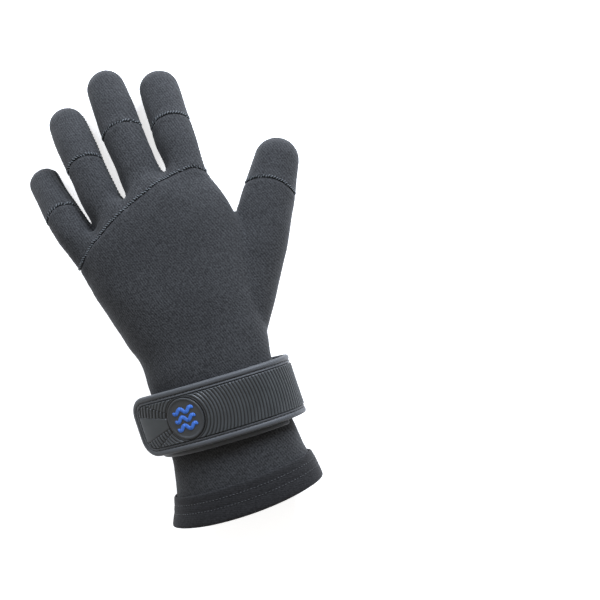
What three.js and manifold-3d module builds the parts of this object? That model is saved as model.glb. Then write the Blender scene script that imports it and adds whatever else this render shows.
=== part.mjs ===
// A left-hand diving glove of 3 mm foam rubber, lying palm down and filled out as if a hand were in it.
// +Y runs from the cuff to the fingertips, +X points to the thumb's side, and +Z is the back of the hand.
// The hand is one hollow shell that is cut along its seams into panels, as the real glove is sewn from them.
// A strap goes once round the wrist: its two lengths meet in a plastic ring on the palm side.
// All sizes are in millimetres. Table columns are shares of the named size that their heading gives.
import * as THREE from "three";
import { mergeVertices } from "three/addons/utils/BufferGeometryUtils.js";
import Module from "manifold-3d";

const wasm = await Module();
wasm.setup();

// Glove
const gloveLength = 286;
const palmWidth = 105;
const handHeight = 58;
const wall = 3;
const seamGap = 0.3;
const knuckleHeight = 31;
const knuckleArc = 0.92;
const cuffBow = 4;
const cuffLength = 100;

// Digits
const fingerWidth = 25;
const fingerDepth = 22.5;
const fingerLift = 0.45;
const thumbWidth = 31;
const thumbDepth = 27;
const thumbRootHeight = 30;
const digitSwell = 0.04;
const thumbSwell = 0.17;
const noseShare = 0.5;

// Hem, a band that is folded over the end of the cuff
const hemCloth = 1.5;
const hemLength = 18;
const hemFold = 8;
const clearance = 0.3;

// Strap and ring
const strapWidth = 37;
const strapCentre = 62;
const strapSlant = 0.04;
const strapCloth = 1.8;
const tapeWidth = 4;
const tapeCloth = 0.4;
const tapeLap = 1.2;
const pileCloth = 0.9;
const padCloth = 0.9;
const ringBar = 3.2;
const ringSpan = 11.8;
const ringCorner = 5;
const ringPlay = 1;
const ringAngle = 308;
const returnRun = 11;
const tailAngle = 122;
const tailLength = 33;
const tailRadius = 62;
const tailCorner = 12;
const lowerDrift = 3;

// Badge on the strap's free end
const badgeLength = 22;
const badgeWidth = 25;
const badgeHeight = 1.2;
const badgePlace = 38;
const waveCloth = 0.7;
const waveWidth = 2.2;
const waveLength = 13;
const waveSwing = 1.3;
const wavePitch = 5;

const bodySides = 24;
const digitSides = 12;
const liningSides = 8;

// The hand's body from the cuff's end to the finger roots. squareness is a superellipse's power.
// along: gloveLength. left, right: palmWidth. under, over: handHeight.
const bodySections = [
  { along: 0.0, left: -0.452, right: 0.452, under: -0.03, over: 1.03, squareness: 2.2 },
  { along: 0.042, left: -0.405, right: 0.438, under: -0.015, over: 1.02, squareness: 2.2 },
  { along: 0.084, left: -0.372, right: 0.414, under: 0.08, over: 1.01, squareness: 2.2 },
  { along: 0.133, left: -0.342, right: 0.402, under: 0.2, over: 1.0, squareness: 2.2 },
  { along: 0.286, left: -0.342, right: 0.402, under: 0.2, over: 1.0, squareness: 2.2 },
  { along: 0.339, left: -0.338, right: 0.419, under: 0.14, over: 0.985, squareness: 2.2 },
  { along: 0.402, left: -0.383, right: 0.443, under: 0.07, over: 0.965, squareness: 2.2 },
  { along: 0.472, left: -0.435, right: 0.462, under: 0.045, over: 0.945, squareness: 2.25 },
  { along: 0.542, left: -0.479, right: 0.471, under: 0.06, over: 0.92, squareness: 2.35 },
  { along: 0.612, left: -0.486, right: 0.467, under: 0.12, over: 0.893, squareness: 2.45 },
  { along: 0.671, left: -0.486, right: 0.438, under: 0.195, over: 0.855, squareness: 2.5 },
  { along: 0.710, left: -0.476, right: 0.405, under: 0.255, over: 0.805, squareness: 2.5 },
  { along: 0.735, left: -0.438, right: 0.362, under: 0.32, over: 0.735, squareness: 2.5 },
  { along: 0.746, left: -0.381, right: 0.286, under: 0.41, over: 0.64, squareness: 2.4 },
];

// The fingers. rootX, tipX: palmWidth. rootY, webY, tipY: gloveLength. rootWidth, tipWidth: fingerWidth.
// seam is the distance of the tip seam from the fingertip, in fingerWidth.
const fingers = [
  {
    name: "index", rootX: 0.267, rootY: 0.612, webY: 0.717,
    tipX: 0.259, tipY: 0.964, rootWidth: 1.04, tipWidth: 0.98, seam: 1.42,
  },
  {
    name: "middle", rootX: 0.029, rootY: 0.622, webY: 0.727,
    tipX: -0.057, tipY: 1.000, rootWidth: 1.04, tipWidth: 0.98, seam: 1.64,
  },
  {
    name: "ring", rootX: -0.214, rootY: 0.601, webY: 0.710,
    tipX: -0.356, tipY: 0.950, rootWidth: 0.98, tipWidth: 0.92, seam: 1.60,
  },
  {
    name: "little", rootX: -0.376, rootY: 0.542, webY: 0.650,
    tipX: -0.606, tipY: 0.835, rootWidth: 0.92, tipWidth: 0.82, seam: 1.32,
  },
];

// The thumb, in the same columns, with its widths and seam as shares of thumbWidth.
const thumb = {
  name: "thumb", rootX: 0.259, rootY: 0.355, webY: 0.555,
  tipX: 0.865, tipY: 0.730, rootWidth: 1.10, tipWidth: 0.92, seam: 0.98,
};

// Where the panels meet. across: palmWidth. along: gloveLength.
const knuckleSeam = [
  { across: -0.714, along: 0.545 },
  { across: -0.495, along: 0.589 },
  { across: -0.400, along: 0.621 },
  { across: -0.295, along: 0.643 },
  { across: -0.138, along: 0.673 },
  { across: 0.000, along: 0.692 },
  { across: 0.133, along: 0.710 },
  { across: 0.314, along: 0.717 },
  { across: 0.393, along: 0.699 },
  { across: 0.452, along: 0.677 },
];
const wristSeam = [
  { across: -0.695, along: 0.367 },
  { across: -0.400, along: 0.369 },
  { across: 0.000, along: 0.372 },
  { across: 0.219, along: 0.385 },
  { across: 0.419, along: 0.430 },
  { across: 0.590, along: 0.497 },
  { across: 0.790, along: 0.573 },
  { across: 1.067, along: 0.685 },
];

const degrees = Math.PI / 180;
const lerp = THREE.MathUtils.lerp;
const clamp = THREE.MathUtils.clamp;
const smoothstep = THREE.MathUtils.smoothstep;

// A row of a table at any place, on a smooth curve through the rows.
// The curve is level where the rows turn back or stay equal.
function rowAt(table, key, place) {
  const last = table.length - 1;
  const found = table.findIndex((row) => row[key] > place);
  const i = clamp((found < 0 ? table.length : found) - 1, 0, last - 1);
  const span = table[i + 1][key] - table[i][key];
  const t = clamp((place - table[i][key]) / span, 0, 1);
  const blended = {};
  for (const column of Object.keys(table[0])) {
    const rise = (k) => (table[k + 1][column] - table[k][column]) / (table[k + 1][key] - table[k][key]);
    const slope = (k) => {
      const [before, after] = [rise(Math.max(k - 1, 0)), rise(Math.min(k, last - 1))];
      return before * after > 0 ? (2 * before * after) / (before + after) : 0;
    };
    const [a, b] = [table[i][column], table[i + 1][column]];
    const ease = t * t * (3 - 2 * t);
    const lean = slope(i) * t * (1 - t) ** 2 - slope(i + 1) * t * t * (1 - t);
    blended[column] = lerp(a, b, ease) + span * lean;
  }
  return blended;
}

// A manifold-3d solid from points and triangles, turned so that its faces point out.
function solidFrom(points, triangles) {
  const at = (i) => points[i];
  const volume = triangles.reduce((sum, [a, b, c]) => sum + at(a).dot(at(b).clone().cross(at(c))), 0);
  const wound = volume < 0 ? triangles.map(([a, b, c]) => [a, c, b]) : triangles;
  return new wasm.Manifold(
    new wasm.Mesh({
      numProp: 3,
      vertProperties: new Float32Array(points.flatMap((p) => p.toArray())),
      triVerts: new Uint32Array(wound.flat()),
    }),
  );
}

// A closed solid through rings of points. Its ends are closed by a strip between the ring's halves,
// or the last one by a pole if one is given.
function loft(rings, pole) {
  const sides = rings[0].length;
  const points = rings.flat();
  const triangles = [];
  for (let i = 0; i + 1 < rings.length; i++) {
    for (let k = 0; k < sides; k++) {
      const [a, b] = [i * sides + k, i * sides + ((k + 1) % sides)];
      triangles.push([a, b, b + sides], [a, b + sides, a + sides]);
    }
  }
  const closeEnd = (first, turned) => {
    const add = (a, b, c) => {
      const facing = turned ? [a, b, c] : [c, b, a];
      triangles.push(facing.map((k) => first + k));
    };
    for (let k = 0; k < sides / 2; k++) {
      const [b, c, d] = [k + 1, sides - k - 1, (sides - k) % sides];
      if (b !== c) add(k, b, c);
      if (k !== d) add(k, c, d);
    }
  };
  closeEnd(0, false);
  const last = (rings.length - 1) * sides;
  if (pole) {
    points.push(pole);
    for (let k = 0; k < sides; k++) triangles.push([last + k, last + ((k + 1) % sides), points.length - 1]);
  } else {
    closeEnd(last, true);
  }
  return solidFrom(points, triangles);
}

// A closed tube of round section along a closed line of points.
function closedTube(line, radius, sides) {
  const points = [];
  const triangles = [];
  const third = Math.floor(line.length / 3);
  const flat = new THREE.Plane().setFromCoplanarPoints(line[0], line[third], line[2 * third]);
  line.forEach((point, i) => {
    const ahead = line[(i + 1) % line.length].clone().sub(line.at(i - 1)).normalize();
    const aside = ahead.cross(flat.normal).normalize();
    for (let k = 0; k < sides; k++) {
      const angle = (k / sides) * 360 * degrees;
      const rim = point.clone().addScaledVector(aside, radius * Math.cos(angle));
      points.push(rim.addScaledVector(flat.normal, radius * Math.sin(angle)));
      const [a, b] = [i * sides + k, i * sides + ((k + 1) % sides)];
      const next = (j) => (j + sides) % (line.length * sides);
      triangles.push([a, b, next(b)], [a, next(b), next(a)]);
    }
  });
  return solidFrom(points, triangles);
}

// A three.js geometry as a solid.
function solidOf(geometry) {
  const bare = geometry.clone();
  bare.deleteAttribute("normal");
  bare.deleteAttribute("uv");
  const merged = mergeVertices(bare);
  const position = merged.attributes.position;
  const vertex = (_, i) => new THREE.Vector3().fromBufferAttribute(position, i);
  const points = Array.from({ length: position.count }, vertex);
  const index = merged.index.array;
  const corner = (_, i) => [index[3 * i], index[3 * i + 1], index[3 * i + 2]];
  const triangles = Array.from({ length: index.length / 3 }, corner);
  return solidFrom(points, triangles);
}

// The shape of the hand's body

// Points on a superellipse between four sides, each pulled in by inset.
// The side that lies on the floor is flattened.
const restHeight = hemCloth + clearance;
function sectionRing(y, inset) {
  const row = rowAt(bodySections, "along", y / gloveLength);
  const [left, right] = [row.left * palmWidth + inset, row.right * palmWidth - inset];
  const [under, over] = [row.under * handHeight + inset, row.over * handHeight - inset];
  return Array.from({ length: bodySides }, (_, k) => {
    const angle = (k / bodySides) * 360 * degrees;
    const bent = (value) => Math.sign(value) * Math.abs(value) ** (2 / row.squareness);
    const x = (left + right) / 2 + ((right - left) / 2) * bent(Math.cos(angle));
    const z = (under + over) / 2 + ((over - under) / 2) * bent(Math.sin(angle));
    return bowed(x, y, Math.max(z, restHeight + inset));
  });
}

// The knuckles lie on an arc and so does the cuff's end.
// Each point moves along Y by its place across the hand.
function bowed(x, y, z) {
  const arcTop = 0.095 * palmWidth;
  const knuckles = smoothstep(y, 0.49 * gloveLength, 0.72 * gloveLength);
  const cuffEnd = 1 - smoothstep(y, 0, 0.12 * gloveLength);
  const knuckleShift = knuckles * knuckleArc * ((x - arcTop) ** 2 / palmWidth);
  const cuffShift = cuffEnd * cuffBow * (1 - (2 * x / palmWidth) ** 2);
  return new THREE.Vector3(x, y - knuckleShift - cuffShift, z);
}

// Stations are closer together where the outline turns.
const bodyStations = [
  0, 0.03, 0.06, 0.1, 0.135, 0.285, 0.34, 0.402, 0.472, 0.542, 0.612, 0.671, 0.71, 0.735,
];
const webEnd = 0.746 * gloveLength;
function bodySolid(inset, from, to = webEnd - inset) {
  const stations = bodyStations.map((share) => share * gloveLength);
  const between = stations.filter((y) => y > from + 1 && y < to - 1);
  const ringAt = (y) => {
    const ring = sectionRing(Math.max(y, 0), inset);
    return ring.map((point) => point.setY(point.y + Math.min(y, 0)));
  };
  return loft([from, ...between, to].map(ringAt));
}

// The shape of the digits

function digitLine(row, width, depth, swell) {
  const tip = new THREE.Vector2(row.tipX * palmWidth, row.tipY * gloveLength);
  const root = new THREE.Vector2(row.rootX * palmWidth, row.rootY * gloveLength);
  const nose = noseShare * row.tipWidth * width;
  const along = tip.clone().sub(root).normalize();
  const noseCentre = tip.clone().addScaledVector(along, -nose);
  const tipHeight = (row.tipWidth * depth) / 2 + fingerLift;
  return { root, noseCentre, along, nose, tipHeight, width, depth, swell, row };
}

const fingerLines = fingers.map((row) => digitLine(row, fingerWidth, fingerDepth, digitSwell));
const thumbLine = digitLine(thumb, thumbWidth, thumbDepth, thumbSwell);

// A digit's width at any place, as a share of its size: it swells a little between its root and its tip.
function digitShare(line, t) {
  return lerp(line.row.rootWidth, line.row.tipWidth, t) + line.swell * 4 * t * (1 - t);
}

// The height of a digit's centre line: fingers droop from the web to the tip, and the thumb drops evenly.
function lineHeight(line, t) {
  if (line === thumbLine) return lerp(thumbRootHeight, line.tipHeight, t);
  const web = (line.row.webY * gloveLength - line.root.y) / (line.noseCentre.y - line.root.y);
  const past = clamp((t - web) / (1 - web), 0, 1);
  return lerp(knuckleHeight, line.tipHeight, past ** 1.5);
}

function linePoint(line, t) {
  const flat = line.root.clone().lerp(line.noseCentre, t);
  return new THREE.Vector3(flat.x, flat.y, lineHeight(line, t));
}

function lineAhead(line, t) {
  const step = 0.02;
  return linePoint(line, Math.min(t, 1)).sub(linePoint(line, Math.min(t, 1) - step)).normalize();
}

const digitStations = [0, 0.3, 0.55, 0.7, 0.85, 1];
const noseAngles = [32, 62];
function digitSolid(line, inset, sides) {
  // An oval ring across the digit at t, moved ahead by reach, at a share of its full size
  const ring = (t, reach, share) => {
    const ahead = lineAhead(line, t);
    const aside = new THREE.Vector3(ahead.y, -ahead.x, 0).normalize();
    const up = aside.clone().cross(ahead);
    const centre = linePoint(line, t).addScaledVector(ahead, reach);
    const half = (size) => share * ((digitShare(line, t) * size) / 2 - inset);
    return Array.from({ length: sides }, (_, k) => {
      const angle = (k / sides) * 360 * degrees;
      const point = centre.clone().addScaledVector(aside, half(line.width) * Math.cos(angle));
      return point.addScaledVector(up, half(line.depth) * Math.sin(angle));
    });
  };
  const nose = line.nose - inset;
  const rings = digitStations.map((t) => ring(t, 0, 1));
  for (const angle of noseAngles) {
    rings.push(ring(1, nose * Math.sin(angle * degrees), Math.cos(angle * degrees)));
  }
  return loft(rings, linePoint(line, 1).addScaledVector(lineAhead(line, 1), nose));
}

// The whole shell, open at the cuff, before its seams are cut

const cuffStart = hemCloth + clearance;
const handOuter = [...fingerLines, thumbLine].reduce(
  (solid, line) => solid.add(digitSolid(line, 0, digitSides)),
  bodySolid(0, cuffStart),
);
const handInner = [...fingerLines, thumbLine].reduce(
  (solid, line) => solid.add(digitSolid(line, wall, liningSides)),
  bodySolid(wall, -wall),
);
const shell = handOuter.subtract(handInner);

// The seams

// The height half way up the hand's side at any place, which the palm panel's seam follows.
function sideHeight(x, y) {
  const share = (line) => (y - line.root.y) / (line.noseCentre.y - line.root.y);
  const places = fingerLines.map((line) => ({
    x: lerp(line.root.x, line.noseCentre.x, share(line)),
    web: line.row.webY * gloveLength,
    end: line.noseCentre.y,
    tip: line.tipHeight,
  }));
  const ordered = places.sort((a, b) => a.x - b.x);
  const next = clamp(ordered.findIndex((place) => place.x > x), 1, ordered.length - 1);
  const k = x > ordered.at(-1).x ? ordered.length - 1 : next;
  const [a, b] = [ordered[k - 1], ordered[k]];
  const t = clamp((x - a.x) / (b.x - a.x), 0, 1);
  const past = clamp((y - lerp(a.web, b.web, t)) / (lerp(a.end, b.end, t) - lerp(a.web, b.web, t)), 0, 1);
  const fingerSide = lerp(knuckleHeight, lerp(a.tip, b.tip, t), past ** 1.5);
  const flat = new THREE.Vector2(x, y).sub(thumbLine.root);
  const thumbLength = thumbLine.noseCentre.distanceTo(thumbLine.root);
  const thumbSide = lineHeight(thumbLine, clamp(flat.dot(thumbLine.along) / thumbLength, 0, 1));
  return lerp(fingerSide, thumbSide, smoothstep(x, 0.42 * palmWidth, 0.53 * palmWidth));
}

// All that lies below the hand's side seam and ahead of the wrist seam, grown or shrunk by half the seam's gap.
function palmRegion(growth) {
  const [columns, rows] = [16, 11];
  const seamDrop = 1.5;
  const below = -handHeight;
  const [low, high] = [-0.75 * palmWidth, 1.05 * palmWidth];
  const far = 1.1 * gloveLength;
  const top = [];
  const floor = [];
  for (let i = 0; i <= columns; i++) {
    const x = lerp(low, high, i / columns);
    const near = rowAt(wristSeam, "across", x / palmWidth).along * gloveLength - growth;
    for (let j = 0; j <= rows; j++) {
      const y = lerp(near, far, j / rows);
      top.push(new THREE.Vector3(x, y, sideHeight(x, y) - seamDrop + growth));
      floor.push(new THREE.Vector3(x, y, below));
    }
  }
  const at = (i, j) => i * (rows + 1) + j;
  const under = top.length;
  const triangles = [];
  for (let i = 0; i < columns; i++) {
    for (let j = 0; j < rows; j++) {
      const [a, b, c, d] = [at(i, j), at(i + 1, j), at(i + 1, j + 1), at(i, j + 1)];
      triangles.push([a, b, c], [a, c, d]);
      triangles.push([under + a, under + c, under + b], [under + a, under + d, under + c]);
    }
  }
  const skirt = (a, b) => triangles.push([a, under + a, under + b], [a, under + b, b]);
  for (let i = 0; i < columns; i++) {
    skirt(at(i, 0), at(i + 1, 0));
    skirt(at(i + 1, rows), at(i, rows));
  }
  for (let j = 0; j < rows; j++) {
    skirt(at(0, j + 1), at(0, j));
    skirt(at(columns, j), at(columns, j + 1));
  }
  return solidFrom(top.concat(floor), triangles);
}

// All that lies ahead of the knuckle seam, on the fingers' side of the thumb's web.
function fingerRegion(growth) {
  const steps = 20;
  const [low, high] = [knuckleSeam[0].across, knuckleSeam.at(-1).across];
  const outline = new THREE.Shape();
  outline.moveTo(low * palmWidth, 1.1 * gloveLength);
  for (let i = 0; i <= steps; i++) {
    const across = lerp(low, high, i / steps);
    outline.lineTo(across * palmWidth, rowAt(knuckleSeam, "across", across).along * gloveLength - growth);
  }
  outline.lineTo(high * palmWidth, 1.1 * gloveLength);
  const prism = new THREE.ExtrudeGeometry(outline, { depth: 4 * handHeight, bevelEnabled: false });
  return solidOf(prism.translate(0, 0, -2 * handHeight));
}

// All of one digit that lies ahead of a plane square to it, at a distance back from the digit's tip.
function digitRegion(line, back, growth) {
  const length = line.root.distanceTo(line.noseCentre);
  const t = 1 - (back - line.nose) / length;
  const ahead = lineAhead(line, t);
  const aside = new THREE.Vector3(ahead.y, -ahead.x, 0).normalize();
  const up = aside.clone().cross(ahead);
  const reach = 2 * line.width + back;
  const sideways = digitShare(line, t) * line.width * 1.13;
  const box = new THREE.BoxGeometry(sideways + 2 * growth, reach, 8 * line.depth);
  const middle = linePoint(line, t).addScaledVector(ahead, reach / 2 - growth);
  const place = new THREE.Matrix4().makeBasis(aside, ahead, up).setPosition(middle);
  return solidOf(box.applyMatrix4(place));
}
const seamBack = (line) => line.row.seam * line.width;
function webBack(line) {
  return line.nose + (line.noseCentre.y - line.row.webY * gloveLength) / line.along.y;
}

// All that lies on one digit's side of the plane half way to the next digit.
function sideRegion(line, next, growth) {
  const root = line.root.clone().lerp(next.root, 0.5);
  const along = line.noseCentre.clone().lerp(next.noseCentre, 0.5).sub(root).normalize();
  const aside = new THREE.Vector3(along.y, -along.x, 0);
  const reach = 2 * gloveLength;
  const box = new THREE.BoxGeometry(reach, reach, 4 * handHeight);
  const middle = new THREE.Vector3(root.x, root.y, 0).addScaledVector(aside, reach / 2 - growth);
  const ahead = new THREE.Vector3(along.x, along.y, 0);
  const place = new THREE.Matrix4().makeBasis(aside, ahead, new THREE.Vector3(0, 0, 1)).setPosition(middle);
  return solidOf(box.applyMatrix4(place));
}

// All that lies behind a plane square to the cuff.
function cuffRegion(growth) {
  const reach = 2 * cuffLength;
  const box = new THREE.BoxGeometry(4 * palmWidth, reach, 4 * handHeight);
  return solidOf(box.translate(0, cuffLength - reach / 2 + growth, 0));
}

// Cuts a solid in two along a region's edge, and leaves the seam's gap between them.
function cutSeam(solid, region) {
  return { inside: solid.intersect(region(-seamGap / 2)), outside: solid.subtract(region(seamGap / 2)) };
}

const { inside: gripSide, outside: upperSide } = cutSeam(shell, palmRegion);
const { inside: fingerTops, outside: handBack } = cutSeam(upperSide, fingerRegion);
const thumbTipRegion = (growth) => digitRegion(thumbLine, seamBack(thumbLine), growth);
const { inside: thumbTip, outside: backAndCuff } = cutSeam(handBack, thumbTipRegion);
const panels = new Map([["tip_thumb", thumbTip]]);
let fingerBacks = fingerTops;
for (const line of fingerLines) {
  const cut = cutSeam(fingerBacks, (growth) => digitRegion(line, seamBack(line), growth));
  panels.set("tip_" + line.row.name, cut.inside);
  fingerBacks = cut.outside;
}

// The real glove has none of the cuts that follow. They part its large panels into plain forms.
const thumbRegion = (growth) => digitRegion(thumbLine, webBack(thumbLine), growth);
const { inside: cuffPanel, outside: backAndThumb } = cutSeam(backAndCuff, cuffRegion);
const { inside: thumbBack, outside: backPanel } = cutSeam(backAndThumb, thumbRegion);
panels.set("cuff_panel", cuffPanel);
panels.set("back_panel", backPanel);
panels.set("back_thumb", thumbBack);
for (const [i, line] of fingerLines.entries()) {
  const next = fingerLines[i + 1];
  const region = (growth) => sideRegion(line, next, growth);
  const cut = next ? cutSeam(fingerBacks, region) : { inside: fingerBacks };
  panels.set("back_" + line.row.name, cut.inside);
  fingerBacks = cut.outside;
}
let palmPanel = gripSide;
for (const line of [...fingerLines, thumbLine]) {
  const cut = cutSeam(palmPanel, (growth) => digitRegion(line, webBack(line), growth));
  panels.set("grip_" + line.row.name, cut.inside);
  palmPanel = cut.outside;
}
panels.set("grip_palm", palmPanel);

// The hem: the band's outer leaf, the fold round the cuff's end and a shorter inner leaf

const outerLeaf = hemCloth + clearance;
const innerLeaf = wall + clearance + hemCloth;
const hemEnd = hemLength + 2 * hemCloth;
const leafRoom = bodySolid(-clearance, hemCloth, hemEnd)
  .subtract(bodySolid(wall + clearance, -hemCloth, 2 * hemLength));
const hemBand = bodySolid(-outerLeaf, 0, hemLength)
  .subtract(bodySolid(-clearance, hemFold, hemEnd))
  .subtract(leafRoom)
  .subtract(bodySolid(innerLeaf, -hemCloth, 2 * hemLength));

// The strap

// A strap's line is a list of points in the XZ plane, with the direction that points away from the wrist.
const wrist = rowAt(bodySections, "along", strapCentre / gloveLength);
const wristHalf = {
  x: ((wrist.right - wrist.left) / 2) * palmWidth,
  z: ((wrist.over - wrist.under) / 2) * handHeight,
};
const wristMiddle = {
  x: ((wrist.right + wrist.left) / 2) * palmWidth,
  z: ((wrist.over + wrist.under) / 2) * handHeight,
};

// A point beside the wrist, at an angle from the thumb's side towards the back of the hand.
function besideWrist(angle, offset) {
  const bent = (value) => Math.sign(value) * Math.abs(value) ** (2 / wrist.squareness);
  const [c, s] = [bent(Math.cos(angle * degrees)), bent(Math.sin(angle * degrees))];
  const lean = (value) => Math.sign(value) * Math.abs(value) ** (wrist.squareness - 1);
  const out = new THREE.Vector2(lean(c) / wristHalf.x, lean(s) / wristHalf.z).normalize();
  const point = new THREE.Vector2(wristMiddle.x + wristHalf.x * c, wristMiddle.z + wristHalf.z * s);
  return point.addScaledVector(out, offset);
}

// Points every few degrees from one angle to another, with the offset easing from one value to another.
function alongWrist(fromAngle, toAngle, fromOffset, toOffset, easeDegrees) {
  const count = Math.ceil(Math.abs(toAngle - fromAngle) / 14);
  return Array.from({ length: count + 1 }, (_, i) => {
    const angle = lerp(fromAngle, toAngle, i / count);
    const eased = smoothstep(Math.abs(angle - fromAngle), 0, easeDegrees);
    return besideWrist(angle, lerp(fromOffset, toOffset, eased));
  });
}

// Offsets from the wrist to the middle of a strap's cloth
const tapeHalf = strapCloth / 2 + tapeCloth + clearance / 2;
const innerOffset = clearance + strapCloth / 2;
const lowerOffset = 2 * clearance + tapeHalf;
const pileTop = lowerOffset + strapCloth / 2 + clearance + pileCloth;
const upperOffset = Math.max(pileTop, lowerOffset + tapeHalf) + clearance + tapeHalf;
const turnRadius = ringBar / 2 + 2 * clearance + tapeHalf;

// The ring lies flat beside the wrist, with its two bars across the strap.
const ringOffset = innerOffset + turnRadius + 0.5;
const ringMiddle = besideWrist(ringAngle, ringOffset);
const ringAlong = besideWrist(ringAngle + 1, ringOffset).sub(besideWrist(ringAngle - 1, ringOffset)).normalize();
const ringOut = new THREE.Vector2(ringAlong.y, -ringAlong.x);

// The turn round a bar, from its inner side past the ring's opening to its outer side.
// toward is 1 or -1 along the ring.
function barTurn(toward) {
  const bar = ringMiddle.clone().addScaledVector(ringAlong, (toward * ringSpan) / 2);
  return [0, 45, 90, 135, 180].map((angle) =>
    bar
      .clone()
      .addScaledVector(ringOut, -turnRadius * Math.cos(angle * degrees))
      .addScaledVector(ringAlong, -toward * turnRadius * Math.sin(angle * degrees)),
  );
}

const girth = (Math.PI * (wristHalf.x + wristHalf.z)) / 360;
const barAngle = ringSpan / 2 / girth;
const leadAngle = (returnRun * 0.55) / girth;

function strapLine(toward, points, drift) {
  const turn = barTurn(toward);
  const backAngle = ringAngle + toward * (barAngle + leadAngle * 2);
  const midAngle = ringAngle + toward * (barAngle + leadAngle);
  const line = [besideWrist(backAngle, innerOffset), besideWrist(midAngle, innerOffset), ...turn, ...points];
  const ways = line.map((point, i) => {
    const way = line[Math.min(i + 1, line.length - 1)].clone().sub(line[Math.max(i - 1, 0)]).normalize();
    return new THREE.Vector2(way.y, -way.x).multiplyScalar(toward);
  });
  const lengths = [0];
  for (let i = 1; i < line.length; i++) lengths.push(lengths[i - 1] + line[i].distanceTo(line[i - 1]));
  return { line, ways, lengths, bend: lengths[1 + turn.length], total: lengths.at(-1), drift };
}

// The lower strap runs from the ring under the palm side, up the little finger's side and over the back.
const liftedOffset = ringOffset + turnRadius;
const lowerRun = alongWrist(ringAngle - 30, 28, liftedOffset - 1.5, lowerOffset, 42);
const lowerStrap = strapLine(-1, lowerRun, lowerDrift);

// The upper strap runs from the ring round the thumb's side and over the back.
// Its free end stands off the wrist.
function tail() {
  const start = besideWrist(tailAngle, upperOffset);
  const way = start.clone().sub(besideWrist(tailAngle - 2, upperOffset)).normalize();
  const heading = Math.atan2(way.y, way.x);
  const points = [];
  const steps = 5;
  for (let i = 1; i <= steps; i++) {
    const turned = (tailLength * i) / steps / tailRadius;
    const ahead = new THREE.Vector2(Math.cos(heading), Math.sin(heading));
    const aside = new THREE.Vector2(-ahead.y, ahead.x);
    const point = start.clone().addScaledVector(ahead, tailRadius * Math.sin(turned));
    points.push(point.addScaledVector(aside, tailRadius * (1 - Math.cos(turned))));
  }
  return points;
}
const upperRun = alongWrist(ringAngle + 30 - 360, tailAngle, liftedOffset - 1, upperOffset, 110);
const upperStrap = strapLine(1, [...upperRun, ...tail()], 0);

// A point of the strap: along its line, across its width and out from its middle.
function onStrap(strap, along, across, out) {
  const last = strap.line.length - 1;
  const found = strap.lengths.findIndex((length) => length >= along);
  const i = clamp(found < 0 ? last : found, 1, last);
  const t = (along - strap.lengths[i - 1]) / (strap.lengths[i] - strap.lengths[i - 1]);
  const point = strap.line[i - 1].clone().lerp(strap.line[i], t);
  const way = strap.ways[i - 1].clone().lerp(strap.ways[i], clamp(t, 0, 1)).normalize();
  point.addScaledVector(way, out);
  const drifted = strap.drift * smoothstep(along, 0.2 * strap.total, 0.7 * strap.total);
  return new THREE.Vector3(point.x, strapCentre + across - strapSlant * point.x - drifted, point.y);
}

// A plate that follows the strap. edges gives its two sides, low and high, at each place along.
function strapPlate(strap, from, to, inner, outer, edges, extra = []) {
  const own = strap.lengths.filter((length) => length > from + 0.4 && length < to - 0.4);
  const stops = extra.filter((length) => length > from && length < to);
  const places = [from, ...new Set([...own, ...stops].sort((a, b) => a - b)), to];
  return loft(
    places.map((along) => {
      const [low, high] = edges(along);
      return [
        onStrap(strap, along, low, inner),
        onStrap(strap, along, high, inner),
        onStrap(strap, along, high, outer),
        onStrap(strap, along, low, outer),
      ];
    }),
  );
}

// The sides of a strip with a rounded end, pulled in by inset.
function roundedEnd(end, inset) {
  const half = strapWidth / 2 - inset;
  const corner = tailCorner - inset;
  return (along) => {
    const left = clamp(end - inset - along, 0, corner);
    const narrowed = corner - Math.sqrt(corner ** 2 - (corner - left) ** 2);
    return [-half + narrowed, half - narrowed];
  };
}
const squareEnd = (inset) => () => [-(strapWidth / 2 - inset), strapWidth / 2 - inset];
function cornerSteps(end, inset) {
  return [0.04, 0.15, 0.35, 0.65, 1].map((share) => end - inset - share * (tailCorner - inset));
}

// Cloth, and the tape that is folded round its edges from the ring to the far end
function strapCloths(strap, edgesAt) {
  const layer = (from, inset, half) => {
    const end = strap.total;
    return strapPlate(strap, from, end - inset, -half, half, edgesAt(inset), cornerSteps(end, inset));
  };
  const start = strap.bend;
  const window = layer(start - 2, tapeWidth, 3 * tapeHalf);
  const slot = layer(start - 2, tapeLap - clearance, strapCloth / 2 + clearance / 2);
  return {
    cloth: layer(0, tapeLap, strapCloth / 2),
    tape: layer(start, 0, tapeHalf).subtract(window).subtract(slot),
  };
}

const upper = strapCloths(upperStrap, (inset) => roundedEnd(upperStrap.total, inset));
const lower = strapCloths(lowerStrap, (inset) => squareEnd(inset));

// The pile on the lower strap, between its tapes, and the ribbed pad on the upper strap
const faceInset = tapeWidth + clearance;
const faceInner = strapCloth / 2 + clearance;
const pile = strapPlate(
  lowerStrap,
  lowerStrap.bend + tapeWidth,
  lowerStrap.total - faceInset,
  faceInner,
  faceInner + pileCloth,
  squareEnd(faceInset),
);
const padStart = upperStrap.bend + 0.2 * (upperStrap.total - upperStrap.bend);
const padEnd = upperStrap.total - faceInset;
const padOuter = faceInner + padCloth;
const badgeMiddle = upperStrap.total - badgePlace;

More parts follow.
